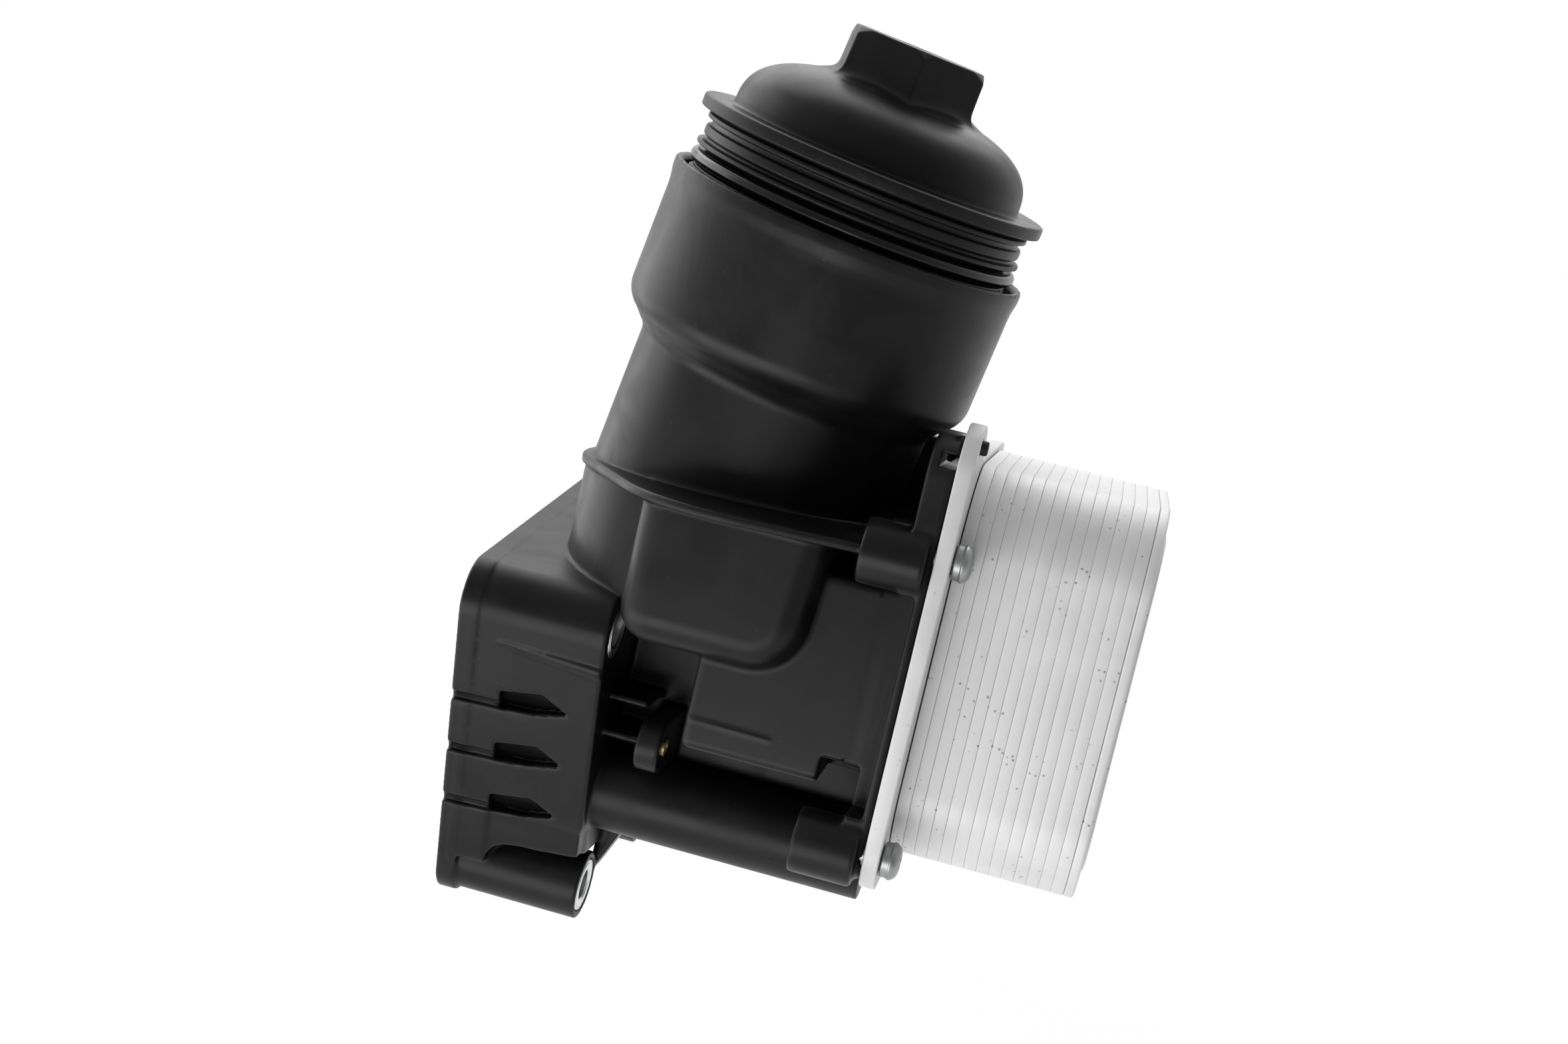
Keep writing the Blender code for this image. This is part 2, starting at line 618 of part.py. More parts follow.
def cap_profile():
    top = CAP_FLANGE_THICK
    crown = top + DOME_HEIGHT
    outer = [(0.0, crown + 2.0), (16.6, crown + 2.0), (18.6, crown + 0.6)]
    outer += dome(DOME_RADIUS, DOME_HEIGHT, top + 0.6, 23.0, 6)
    outer += [(DOME_RADIUS + 0.8, top), (CAP_FLANGE_RADIUS - 0.4, top),
              (CAP_FLANGE_RADIUS, top - 0.4), (CAP_FLANGE_RADIUS, 0.0), (COLLAR_RADIUS, 0.0)]
    for drop, width, radius in RIBS:
        outer += [(COLLAR_RADIUS, width / 2 - drop), (radius, width / 2 - drop - 0.25),
                  (radius, 0.25 - width / 2 - drop), (COLLAR_RADIUS, -width / 2 - drop)]
    groove = SEAL_REACH - 2 * SEAL_SECTION - GAP
    half = SEAL_SECTION + GAP
    skirt_foot = -SEAL_DROP - half - SKIRT_LENGTH
    outer += [(COLLAR_RADIUS, half - SEAL_DROP), (groove, half - SEAL_DROP),
              (groove, -half - SEAL_DROP), (SKIRT_RADIUS, -half - SEAL_DROP),
              (SKIRT_RADIUS, skirt_foot + 0.6), (SKIRT_RADIUS - 0.6, skirt_foot)]
    inner_radius = groove - CAP_WALL
    pocket = ELEMENT_RADIUS + GAP
    disc_top = ELEMENT_TOP + GAP - RIM_HEIGHT - CAP_OPEN
    inner = [(SKIRT_RADIUS - SKIRT_WALL, skirt_foot), (SKIRT_RADIUS - SKIRT_WALL, -SEAL_DROP - 4.0),
             (inner_radius, -SEAL_DROP - 2.0), (inner_radius, disc_top - DISC_THICK - 1.6),
             (pocket, disc_top - DISC_THICK), (pocket, disc_top),
             (RETAINER_RADIUS, disc_top), (RETAINER_RADIUS + 1.6, disc_top + 1.6)]
    inner += reversed(dome(DOME_RADIUS - CAP_WALL, DOME_HEIGHT - CAP_WALL, top + 0.4, 14.0, 4))
    inner.append((0.0, inner[-1][1]))
    return outer + inner


def make_cap():
    cap = turned("screw_cap", cap_profile(), cap_place(), "black_nylon", 40)
    crown = CAP_FLANGE_THICK + DOME_HEIGHT
    across_corners = HEX_ACROSS / math.cos(math.radians(30.0)) / 2
    block = bmesh.new()
    bmesh.ops.create_cone(block, cap_ends=True, segments=6, radius1=(across_corners + 0.15) * MM,
                          radius2=(across_corners - 0.35) * MM, depth=(HEX_HEIGHT + SINK) * MM)
    bmesh.ops.bevel(block, geom=block.edges[:], offset=0.8 * MM, segments=2, profile=0.5,
                    affect="EDGES")
    mesh = bpy.data.meshes.new("cap_hexagon")
    block.to_mesh(mesh)
    block.free()
    lift = crown + (HEX_HEIGHT - SINK) / 2
    turn = Matrix.Rotation(math.radians(HEX_TURN), 4, "Z")
    hexagon = place_object("cap_hexagon", mesh,
                           cap_place() @ Matrix.Translation(mm_vector(0, 0, lift)) @ turn)
    join(cap, hexagon)
    cord = []
    for i in range(8):
        angle = math.pi / 2 - math.tau * i / 8
        cord.append((SEAL_REACH - SEAL_SECTION + SEAL_SECTION * math.cos(angle),
                     -SEAL_DROP + SEAL_SECTION * math.sin(angle)))
    turned("cap_seal", cord, cap_place(), "black_rubber", 36)


def star(outer, depth, count):
    points = []
    for i in range(count * 2):
        radius = outer - depth * (i % 2)
        angle = math.pi * i / count
        points.append((radius * math.cos(angle), radius * math.sin(angle)))
    return points


def make_cartridge():
    low = ELEMENT_FOOT + DISC_THICK + GAP
    high = ELEMENT_TOP - DISC_THICK - GAP
    prism("filter_pleats", [star(ELEMENT_RADIUS - 0.8, PLEAT_DEPTH, PLEATS),
                            circle(0, 0, TUBE_RADIUS + GAP, 32)], low, high, "Z",
          "filter_paper", turn=bowl_place())
    tube = [(TUBE_RADIUS - TUBE_WALL, high), (TUBE_RADIUS, high), (TUBE_RADIUS, low),
            (TUBE_RADIUS - TUBE_WALL, low)]
    turned("centre_tube", tube, bowl_place(), "green_nylon", 28)
    disc = ELEMENT_TOP - DISC_THICK
    upper = [(VALVE_HOLE, ELEMENT_TOP), (ELEMENT_RADIUS - 0.5, ELEMENT_TOP),
             (ELEMENT_RADIUS, ELEMENT_TOP - 0.5), (ELEMENT_RADIUS, disc), (VALVE_HOLE, disc)]
    turned("upper_end_disc", upper, bowl_place(), "end_cap_felt", 28)
    disc = ELEMENT_FOOT + DISC_THICK
    foot = ELEMENT_FOOT - PLUG_DROP
    plug = DRAIN_RADIUS - 2 * GAP
    section = DRAIN_SEAL_SECTION
    cord_radius = DRAIN_RADIUS - GAP - section
    groove = cord_radius - section - GAP
    middle = foot + PLUG_LENGTH / 2
    half = section + GAP
    lower = [(0.0, disc), (ELEMENT_RADIUS, disc), (ELEMENT_RADIUS, ELEMENT_FOOT),
             (PLUG_STEM, ELEMENT_FOOT), (PLUG_STEM, foot + PLUG_LENGTH),
             (plug, foot + PLUG_LENGTH), (plug, middle + half), (groove, middle + half),
             (groove, middle - half), (plug, middle - half), (plug, foot + 1.0),
             (plug - 1.0, foot), (0.0, foot)]
    turned("lower_end_disc", lower, bowl_place(), "end_cap_felt", 24)
    cord = []
    for i in range(6):
        angle = math.pi / 2 - math.tau * i / 6
        cord.append((cord_radius + section * math.cos(angle), middle + section * math.sin(angle)))
    turned("drain_seal", cord, bowl_place(), "black_rubber", 20)


def make_bypass_valve():
    seat = ELEMENT_TOP - DISC_THICK
    head = [(0.0, seat - GAP), (VALVE_RADIUS, seat - GAP), (VALVE_RADIUS, seat - GAP - 1.6),
            (4.2, seat - GAP - 2.2), (VALVE_STEM_RADIUS, seat - GAP - 3.0),
            (VALVE_STEM_RADIUS, seat - STEM_LENGTH), (0.0, seat - STEM_LENGTH)]
    turned("bypass_plunger", head, bowl_place(), "green_nylon", 20)
    top = seat - GAP - 2.2 - GAP
    foot = seat - CAGE_DROP + GAP
    spring = bpy.data.curves.new("bypass_spring", "CURVE")
    spring.dimensions = "3D"
    spring.bevel_depth = SPRING_WIRE * MM
    spring.bevel_resolution = 0
    spring.use_fill_caps = True
    line = spring.splines.new("POLY")
    turns = 4
    steps = 10
    count = turns * steps + 1
    line.points.add(count - 1)
    for i, point in enumerate(line.points):
        angle = math.tau * i / steps
        height = top - SPRING_WIRE - (top - foot - 2 * SPRING_WIRE) * i / (count - 1)
        point.co = (SPRING_RADIUS * math.cos(angle) * MM, SPRING_RADIUS * math.sin(angle) * MM,
                    height * MM, 1.0)
    coil = bpy.data.objects.new("bypass_spring", spring)
    coil.matrix_world = bowl_place()
    spring.materials.append(MATERIALS["zinc_steel"])
    COLLECTIONS["oil_filter_module"].objects.link(coil)
    cage = seat - CAGE_DROP
    ring = [(VALVE_STEM_RADIUS + GAP, cage), (TUBE_RADIUS - TUBE_WALL - GAP, cage),
            (TUBE_RADIUS - TUBE_WALL - GAP, cage - 2.0), (VALVE_STEM_RADIUS + GAP, cage - 2.0)]
    spider = turned("bypass_cage", ring, bowl_place(), "green_nylon", 24)
    for number in range(4):
        turn = math.tau * number / 4
        window = prism(f"cage_window_{number}", [circle(8.8 * math.cos(turn),
                                                        8.8 * math.sin(turn), 3.2, 10)],
                       cage - 2.0 - PROBE, cage + PROBE, "Z", turn=bowl_place())
        cut(spider, window)


def make_cooler():
    start = COOLER_X + GAP
    outlines = [rounded_box((BASE_Y[0], BASE_Z[0]), (BASE_Y[1], BASE_Z[1]), BASE_ROUND, 18.0)]
    outlines += [circle(y, z, SCREW_SHANK + GAP, 12) for y, z in screw_places()]
    outlines += [circle(y, z, PORT_RADIUS, 16) for y, z in PORT_YZ]
    outlines.append(circle(*PEG, PEG_RADIUS + GAP, 12))
    prism("cooler_base_plate", outlines, start, start + BASE_THICK, finish="cooler_aluminium")
    outline = rounded_box((STACK_Y[0], STACK_Z[0]), (STACK_Y[1], STACK_Z[1]), STACK_ROUND, 30.0)
    first = start + BASE_THICK + GAP
    pitch = (STACK_END - COVER_THICK - first) / CORE_PLATES
    for number in range(CORE_PLATES):
        low = first + pitch * number
        prism(f"core_plate_{number + 1:02d}", [outline], low, low + pitch - GAP,
              finish="cooler_aluminium", rounding=0.7)
    prism("cooler_cover", [outline], STACK_END - COVER_THICK, STACK_END,
          finish="cooler_aluminium", rounding=0.9)


def make_screws():
    seat = COOLER_X + GAP + BASE_THICK + GAP
    top = seat + SCREW_HEAD_HEIGHT
    profile = [(0.0, top - 2.4), (2.1, top - 2.4), (2.1, top), (3.6, top - 0.2),
               (SCREW_HEAD - 0.2, top - 1.8), (SCREW_HEAD, seat), (SCREW_SHANK, seat),
               (SCREW_SHANK, COOLER_X - SCREW_GRIP), (0.0, COOLER_X - SCREW_GRIP)]
    for number, (y, z) in enumerate(screw_places(), 1):
        turned(f"cooler_screw_{number}", profile, along_x(0, y, z), "zinc_steel", 16)


def main():
    start_empty()
    make_materials()
    make_housing()
    make_sleeves()
    make_cap()
    make_cartridge()
    make_bypass_valve()
    make_cooler()
    make_screws()


main()
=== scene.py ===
import math

import bmesh
import bpy
import numpy as np
import openvdb
from mathutils import Matrix, Vector


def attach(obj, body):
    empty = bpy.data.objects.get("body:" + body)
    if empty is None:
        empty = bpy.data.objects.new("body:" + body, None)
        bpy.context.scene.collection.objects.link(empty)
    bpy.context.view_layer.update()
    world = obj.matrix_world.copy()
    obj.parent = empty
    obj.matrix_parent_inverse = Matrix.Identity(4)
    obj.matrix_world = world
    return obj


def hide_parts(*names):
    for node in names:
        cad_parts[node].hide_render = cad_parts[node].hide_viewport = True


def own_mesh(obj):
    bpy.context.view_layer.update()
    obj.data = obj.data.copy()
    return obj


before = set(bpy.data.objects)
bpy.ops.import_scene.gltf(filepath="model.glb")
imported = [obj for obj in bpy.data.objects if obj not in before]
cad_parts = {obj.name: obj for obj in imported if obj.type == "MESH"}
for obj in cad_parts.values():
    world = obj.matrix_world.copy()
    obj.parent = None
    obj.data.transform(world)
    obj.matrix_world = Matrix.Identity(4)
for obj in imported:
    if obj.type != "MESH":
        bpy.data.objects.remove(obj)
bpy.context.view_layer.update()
print("frame loaded")

mm = 0.001
gap = 0.3                        # clearance between pieces that touch, in millimetres
sameSpot = 1e-7                  # points of a mesh nearer than this are one, in metres
scene = bpy.context.scene


# outlines and distances, in millimetres

def circle(u, v, radius, steps=96):
    turn = math.tau / steps
    return [(u + radius * math.cos(i * turn), v + radius * math.sin(i * turn)) for i in range(steps)]


def belt(rounds, step=4.0):      # the outline round circles (u, v, radius), anticlockwise
    leaving = []
    for (u0, v0, r0), (u1, v1, r1) in zip(rounds, rounds[1:] + rounds[:1]):
        along = math.atan2(v1 - v0, u1 - u0)
        leaving.append(along - math.acos((r0 - r1) / math.hypot(u1 - u0, v1 - v0)))
    points = []
    for (u, v, r), arrive, leave in zip(rounds, leaving[-1:] + leaving[:-1], leaving):
        sweep = (leave - arrive) % math.tau
        count = max(1, math.ceil(math.degrees(sweep) / step))
        for i in range(count + 1):
            angle = arrive + sweep * i / count
            points.append((u + r * math.cos(angle), v + r * math.sin(angle)))
    return points


def roundedBox(low, high, radius, step=4.0):
    (u0, v0), (u1, v1) = low, high
    return belt([(u0 + radius, v0 + radius, radius), (u1 - radius, v0 + radius, radius),
                 (u1 - radius, v1 - radius, radius), (u0 + radius, v1 - radius, radius)], step)


def outlineDistance(points, u, v):      # signed distance to a closed outline, negative inside
    nearest = np.full(np.broadcast(u, v).shape, 1e9, np.float32)
    inside = np.zeros(nearest.shape, bool)
    for (u0, v0), (u1, v1) in zip(points, points[1:] + points[:1]):
        du, dv = u1 - u0, v1 - v0
        length = du * du + dv * dv
        if length < 1e-12:
            continue
        t = np.clip(((u - u0) * du + (v - v0) * dv) / length, 0, 1)
        nearest = np.minimum(nearest, (u - u0 - t * du) ** 2 + (v - v0 - t * dv) ** 2)
        if dv:
            crossing = ((v0 <= v) & (v < v1)) | ((v1 <= v) & (v < v0))
            inside ^= crossing & (u < u0 + (v - v0) * du / dv)
    return np.where(inside, -1, 1) * np.sqrt(nearest)


def extruded(flat, along, low, high, rounding=0.0):
    a = flat + rounding
    b = np.abs(along - (low + high) / 2) - (high - low) / 2 + rounding
    return np.minimum(np.maximum(a, b), 0) + np.hypot(np.maximum(a, 0), np.maximum(b, 0)) - rounding


def blockDistance(x, y, z, low, high, rounding=0.0):
    parts = []
    for value, start, end in zip((x, y, z), low, high):
        parts.append(np.abs(value - (start + end) / 2) - (end - start) / 2 + rounding)
    a, b, c = parts
    outside = np.sqrt(np.maximum(a, 0) ** 2 + np.maximum(b, 0) ** 2 + np.maximum(c, 0) ** 2)
    return outside + np.minimum(np.maximum(np.maximum(a, b), c), 0) - rounding


def turnedDistance(profile, radius, height):      # profile from the axis, round the outside, to the axis
    cell = 0.25
    mirrored = profile + [(-u, v) for u, v in reversed(profile)]
    low = float(height.min()) - 1
    across = np.arange(0, float(radius.max()) + 2, cell, dtype=np.float32)
    up = np.arange(low, float(height.max()) + 2, cell, dtype=np.float32)
    table = outlineDistance(mirrored, across[:, None], up[None, :]).astype(np.float32)
    return sampled(table, (radius / cell, (height - low) / cell))


def sampled(table, places):      # straight-line values between a grid's points, in two or three directions
    cells, shares = [], []
    for place, size in zip(places, table.shape):
        cell = np.clip(place.astype(np.int32), 0, size - 2)
        cells.append(cell)
        shares.append(np.clip(place - cell, 0, 1).astype(np.float32))
    total = 0
    for corner in range(2 ** len(cells)):
        weight, index = 1, []
        for axis, (cell, share) in enumerate(zip(cells, shares)):
            far = corner >> axis & 1
            weight = weight * (share if far else 1 - share)
            index.append(cell + far)
        total = total + weight * table[tuple(index)]
    return total


# a field holds the distance to a solid's surface at each point of a grid

def emptyField(low, high, step):
    axes = [np.arange(start, end + step, step, dtype=np.float32) for start, end in zip(low, high)]
    return {"axes": axes, "step": step, "values": np.full([len(a) for a in axes], 60.0, np.float32)}


def window(field, low, high, margin):
    spans, axes = [], []
    for i, axis in enumerate(field["axes"]):
        first = max(0, int((low[i] - margin - axis[0]) / field["step"]))
        last = min(len(axis), int((high[i] + margin - axis[0]) / field["step"]) + 2)
        spans.append(slice(first, last))
        shape = [1, 1, 1]
        shape[i] = last - first
        axes.append(axis[first:last].reshape(shape))
    return tuple(spans), axes


def blended(a, b, radius):      # the smaller of two distances, with a fillet
    if radius <= 0:
        return np.minimum(a, b)
    near = np.maximum(radius - np.abs(a - b), 0) / radius
    return np.minimum(a, b) - near * near * radius / 4


# shapes as addShape and cutShape take them: lowest corner, highest corner, distance

def block(low, high, rounding=0.0):
    return low, high, lambda x, y, z: blockDistance(x, y, z, low, high, rounding)


def bar(centre, radius, along, low, high, rounding=0.0):      # round, along one axis
    corners = [[v - radius for v in centre], [v + radius for v in centre]]
    corners[0].insert(along, low)
    corners[1].insert(along, high)

    def distance(*point):
        u, v = (point[i] for i in range(3) if i != along)
        return extruded(np.hypot(u - centre[0], v - centre[1]) - radius, point[along], low, high, rounding)

    return *corners, distance


def prism(outline, along, low, high, rounding=0.0):      # an outline across one axis, thick along it
    corners = [[min(c) for c in zip(*outline)], [max(c) for c in zip(*outline)]]
    corners[0].insert(along, low)
    corners[1].insert(along, high)

    def distance(*point):
        u, v = (point[i] for i in range(3) if i != along)
        return extruded(outlineDistance(outline, u, v), point[along], low, high, rounding)

    return *corners, distance


def addShape(field, low, high, shape, blend=0.0):
    spans, axes = window(field, low, high, 5 + blend)
    field["values"][spans] = blended(field["values"][spans], shape(*axes), blend)


def cutShape(field, low, high, shape, blend=0.0):
    spans, axes = window(field, low, high, 3 + blend)
    field["values"][spans] = -blended(-field["values"][spans], shape(*axes), blend)


def fieldAt(field, values, points):
    places = [(points[:, i] - field["axes"][i][0]) / field["step"] for i in range(3)]
    return sampled(values, places)


def slopeAt(field, points):
    step = field["step"] * 0.6
    columns = []
    for i in range(3):
        shift = np.zeros(3)
        shift[i] = step
        after, before = (fieldAt(field, field["values"], points + side * shift) for side in (1, -1))
        columns.append(after - before)
    slope = np.stack(columns, 1)
    return slope / np.maximum(np.linalg.norm(slope, axis=1, keepdims=True), 1e-9)


def softened(values, rounds):
    for _ in range(rounds):
        for axis in range(3):
            padded = np.concatenate([values.take([0], axis), values, values.take([-1], axis)], axis)
            count = values.shape[axis]
            before = padded.take(range(count), axis)
            after = padded.take(range(2, count + 2), axis)
            values = values * 0.5 + (before + after) * 0.25
    return values


def meshFromField(name, field, triangles, place=None):
    grid = openvdb.FloatGrid(60.0)
    grid.copyFromArray(np.ascontiguousarray(field["values"]))
    points, _, quads = grid.convertToPolygons(0.0, 0.0)
    points = points.astype(float) * field["step"] + [axis[0] for axis in field["axes"]]
    mesh = bpy.data.meshes.new(name)
    mesh.from_pydata(points.tolist(), [], quads.tolist())
    if len(quads) * 2 > triangles:
        guide = linked(name + "_dense", mesh)
        guide.modifiers.new("thin", "DECIMATE").ratio = triangles / (len(quads) * 2)
        mesh = settledMesh(name, guide)
    points = np.empty(len(mesh.vertices) * 3)
    mesh.vertices.foreach_get("co", points)
    points = points.reshape(-1, 3)
    for _ in range(2):      # pull each point on to the true surface
        points -= slopeAt(field, points) * fieldAt(field, field["values"], points)[:, None] * 0.8
    normals = slopeAt(field, points)
    bend = fieldAt(field, softened(field["values"], 2), points)      # positive on outer edges
    mesh.vertices.foreach_set("co", (points * mm).ravel())
    if signedVolume(mesh) < 0:
        mesh.flip_normals()
    edge = mesh.attributes.new("edge", "FLOAT", "POINT")
    edge.data.foreach_set("value", np.clip(bend, -1, 1).astype(np.float32))
    mesh.shade_smooth()
    mesh.normals_split_custom_set_from_vertices(normals.tolist())
    if place is not None:
        mesh.transform(place)
    return linked(name, mesh)


def linked(name, data):
    made = bpy.data.objects.new(name, data)
    scene.collection.objects.link(made)
    return made


def settledMesh(name, guide):      # the guide's mesh with its modifiers or curve worked out; the guide goes
    mesh = bpy.data.meshes.new_from_object(guide.evaluated_get(bpy.context.evaluated_depsgraph_get()))
    mesh.name = name
    bpy.data.objects.remove(guide)
    return mesh


def cleaned(mesh):
    work = bmesh.new()
    work.from_mesh(mesh)
    bmesh.ops.remove_doubles(work, verts=work.verts, dist=sameSpot)
    bmesh.ops.recalc_face_normals(work, faces=work.faces)
    work.to_mesh(mesh)
    work.free()


def smoothed(mesh, degrees):      # smooth, but for edges sharper than this
    mesh.shade_smooth()
    mesh.set_sharp_from_angle(angle=math.radians(degrees))


def signedVolume(mesh):
    solid = bmesh.new()
    solid.from_mesh(mesh)
    volume = solid.calc_volume(signed=True)
    solid.free()
    return volume


# materials

def socket(tree, name, kind, out, value=None):
    side = "OUTPUT" if out else "INPUT"
    made = tree.interface.new_socket(name=name, in_out=side, socket_type="NodeSocket" + kind)
    if value is not None:
        made.default_value = value
    return made


def addNode(tree, kind, inputs=(), **settings):
    node = tree.nodes.new("ShaderNode" + kind)
    for name, value in settings.items():
        setattr(node, name, value)
    for key, value in dict(inputs).items():
        if isinstance(value, bpy.types.NodeSocket):
            tree.links.new(value, node.inputs[key])
        else:
            node.inputs[key].default_value = value
    return node


def ranged(tree, value, low, high, start=0.0, end=1.0):
    values = {"Value": value, "From Min": low, "From Max": high, "To Min": start, "To Max": end}
    return addNode(tree, "MapRange", values).outputs["Result"]


def mixedColour(tree, factor, first, second):
    node = addNode(tree, "Mix", data_type="RGBA")
    for index, value in ((0, factor), (6, first), (7, second)):
        if isinstance(value, bpy.types.NodeSocket):
            tree.links.new(value, node.inputs[index])
        else:
            node.inputs[index].default_value = value
    return node.outputs[2]


def grey(level, tint=(1.0, 1.0, 1.0)):
    return (level * tint[0], level * tint[1], level * tint[2], 1.0)


def mouldedGroup():      # grain, clouding and dust of a moulded surface
    tree = bpy.data.node_groups.new("moulded_surface", "ShaderNodeTree")
    for name in ("Grain", "Cloud", "Dust", "Worn"):
        socket(tree, name, "Float", True)
    place = addNode(tree, "TexCoord").outputs["Object"]
    fine = addNode(tree, "TexNoise", {"Vector": place, "Scale": 2600.0, "Detail": 3.0, "Roughness": 0.6})
    swirl = addNode(tree, "TexNoise", {"Vector": place, "Scale": 55.0, "Detail": 4.0, "Distortion": 1.2})
    spots = addNode(tree, "TexVoronoi", {"Vector": place, "Scale": 420.0, "Randomness": 1.0})
    rare = addNode(tree, "TexNoise", {"Vector": place, "Scale": 240.0, "Detail": 1.0})
    edge = addNode(tree, "Attribute", attribute_name="edge").outputs["Fac"]
    ends = tree.nodes.new("NodeGroupOutput")
    tree.links.new(fine.outputs["Fac"], ends.inputs["Grain"])
    tree.links.new(ranged(tree, swirl.outputs["Fac"], 0.35, 0.68), ends.inputs["Cloud"])
    small = ranged(tree, spots.outputs["Distance"], 0.16, 0.06)
    seldom = ranged(tree, rare.outputs["Fac"], 0.60, 0.66)
    dust = addNode(tree, "Math", {0: small, 1: seldom}, operation="MULTIPLY")
    tree.links.new(dust.outputs[0], ends.inputs["Dust"])
    rim = ranged(tree, edge, 0.03, 0.16)
    patchy = ranged(tree, swirl.outputs["Fac"], 0.3, 0.6)
    worn = addNode(tree, "Math", {0: rim, 1: patchy}, operation="MULTIPLY")
    tree.links.new(worn.outputs[0], ends.inputs["Worn"])
    return tree


def metalGroup():      # rolled grain, stains and pits of a metal surface
    tree = bpy.data.node_groups.new("metal_surface", "ShaderNodeTree")
    for name in ("Grain", "Stain", "Pit"):
        socket(tree, name, "Float", True)
    place = addNode(tree, "TexCoord").outputs["Object"]
    fine = addNode(tree, "TexNoise", {"Vector": place, "Scale": 1900.0, "Detail": 4.0, "Roughness": 0.7})
    stain = addNode(tree, "TexNoise", {"Vector": place, "Scale": 70.0, "Detail": 5.0, "Distortion": 0.8})
    pits = addNode(tree, "TexVoronoi", {"Vector": place, "Scale": 520.0, "Randomness": 1.0})
    rare = addNode(tree, "TexNoise", {"Vector": place, "Scale": 130.0, "Detail": 2.0})
    ends = tree.nodes.new("NodeGroupOutput")
    tree.links.new(fine.outputs["Fac"], ends.inputs["Grain"])
    tree.links.new(ranged(tree, stain.outputs["Fac"], 0.3, 0.72), ends.inputs["Stain"])
    pit = addNode(tree, "Math", {0: ranged(tree, pits.outputs["Distance"], 0.22, 0.10),
                                 1: ranged(tree, rare.outputs["Fac"], 0.56, 0.62)}, operation="MULTIPLY")
    tree.links.new(pit.outputs[0], ends.inputs["Pit"])
    return tree


def finish(name, group, roughness, metallic=0.0, specular=0.5):
    made = bpy.data.materials.new(name)
    made.use_nodes = True
    tree = made.node_tree
    shader = tree.nodes["Principled BSDF"]
    shader.inputs["Roughness"].default_value = roughness
    shader.inputs["Metallic"].default_value = metallic
    shader.inputs["Specular IOR Level"].default_value = specular
    marks = tree.nodes.new("ShaderNodeGroup")
    marks.node_tree = group
    return made, tree, shader, marks


def raised(tree, shader, height, strength, distance):
    bump = addNode(tree, "Bump", {"Height": height, "Strength": strength, "Distance": distance * mm})
    tree.links.new(bump.outputs["Normal"], shader.inputs["Normal"])


def plastic(name, level, roughness, tint=(1.0, 1.0, 1.0), specular=0.4, grain=0.35):
    made, tree, shader, marks = finish(name, groups["moulded"], roughness, specular=specular)
    body = mixedColour(tree, marks.outputs["Cloud"], grey(level, tint), grey(level * 1.5, tint))
    body = mixedColour(tree, marks.outputs["Worn"], body, grey(level * 2.2, tint))
    body = mixedColour(tree, marks.outputs["Dust"], body, grey(level * 2.5 + 0.01))
    tree.links.new(body, shader.inputs["Base Color"])
    uneven = ranged(tree, marks.outputs["Cloud"], 0, 1, roughness - 0.04, roughness + 0.07)
    tree.links.new(uneven, shader.inputs["Roughness"])
    raised(tree, shader, marks.outputs["Grain"], grain, 0.05)
    return made


def metal(name, level, roughness, tint=(1.0, 1.0, 1.0), metallic=1.0, grain=0.3, pits=0.5):
    made, tree, shader, marks = finish(name, groups["metal"], roughness, metallic)
    light = grey(min(1.0, level * 1.05), tint)
    body = mixedColour(tree, marks.outputs["Stain"], grey(level * 0.93, tint), light)
    pitted = addNode(tree, "Math", {0: marks.outputs["Pit"], 1: pits}, operation="MULTIPLY").outputs[0]
    body = mixedColour(tree, pitted, body, grey(level * 0.35, tint))
    tree.links.new(body, shader.inputs["Base Color"])
    uneven = ranged(tree, marks.outputs["Stain"], 0, 1, roughness - 0.06, roughness + 0.08)
    tree.links.new(uneven, shader.inputs["Roughness"])
    raised(tree, shader, marks.outputs["Grain"], grain, 0.04)
    return made


groups = {"moulded": mouldedGroup(), "metal": metalGroup()}
finishes = {
    "housing": plastic("moulded_nylon", 0.004, 0.36, specular=0.22),
    "cap": plastic("cap_nylon", 0.004, 0.38, specular=0.18),
    "rubber": plastic("seal_rubber", 0.003, 0.2, specular=0.3, grain=0.08),
    "green": plastic("green_nylon", 0.08, 0.5, (0.35, 1.0, 0.55)),
    "felt": plastic("end_disc_resin", 0.16, 0.8, (0.85, 1.0, 0.9), grain=0.8),
    "paper": plastic("filter_paper", 0.42, 0.9, (1.0, 0.74, 0.4), grain=1.0),
    "aluminium": metal("brazed_aluminium", 0.68, 0.55, metallic=0.4, pits=0.9),
    "plate": metal("pressed_aluminium", 0.6, 0.5, metallic=0.3, pits=0.4),
    "zinc": metal("zinc_plated_steel", 0.72, 0.3, (0.98, 1.0, 1.0), pits=0.1),
    "screw": metal("screw_steel", 0.34, 0.36, (0.97, 1.0, 1.0), pits=0.1),
    "brass": metal("insert_brass", 0.62, 0.33, (1.0, 0.76, 0.42), pits=0.1),
}
print("materials made")


# the filter bowl's slanted axis

bowl = {"footX": 57.0, "footY": 0.0, "top": 79.0, "leanX": 10.2, "leanY": 5.1,
        "rim": 76.0, "rimRadius": 48.2, "rimBand": 3.0, "upper": 47.6, "lower": 40.5,
        "shoulderTop": 41.0, "shoulderFoot": 32.0, "bore": 45.7, "boreFoot": 43.0,
        "chamber": 37.4, "chamberTop": 34.0, "floor": -12.0, "drain": 8.5, "drainDepth": 26.0}
leanX, leanY = math.radians(bowl["leanX"]), math.radians(bowl["leanY"])
bowlAxis = Vector((math.sin(leanX), -math.sin(leanY), 1.0)).normalized()
bowlTurn = Vector((0, 0, 1)).rotation_difference(bowlAxis).to_matrix().to_4x4()
bowlPlace = Matrix.Translation(Vector((bowl["footX"], bowl["footY"], bowl["top"])) * mm) @ bowlTurn


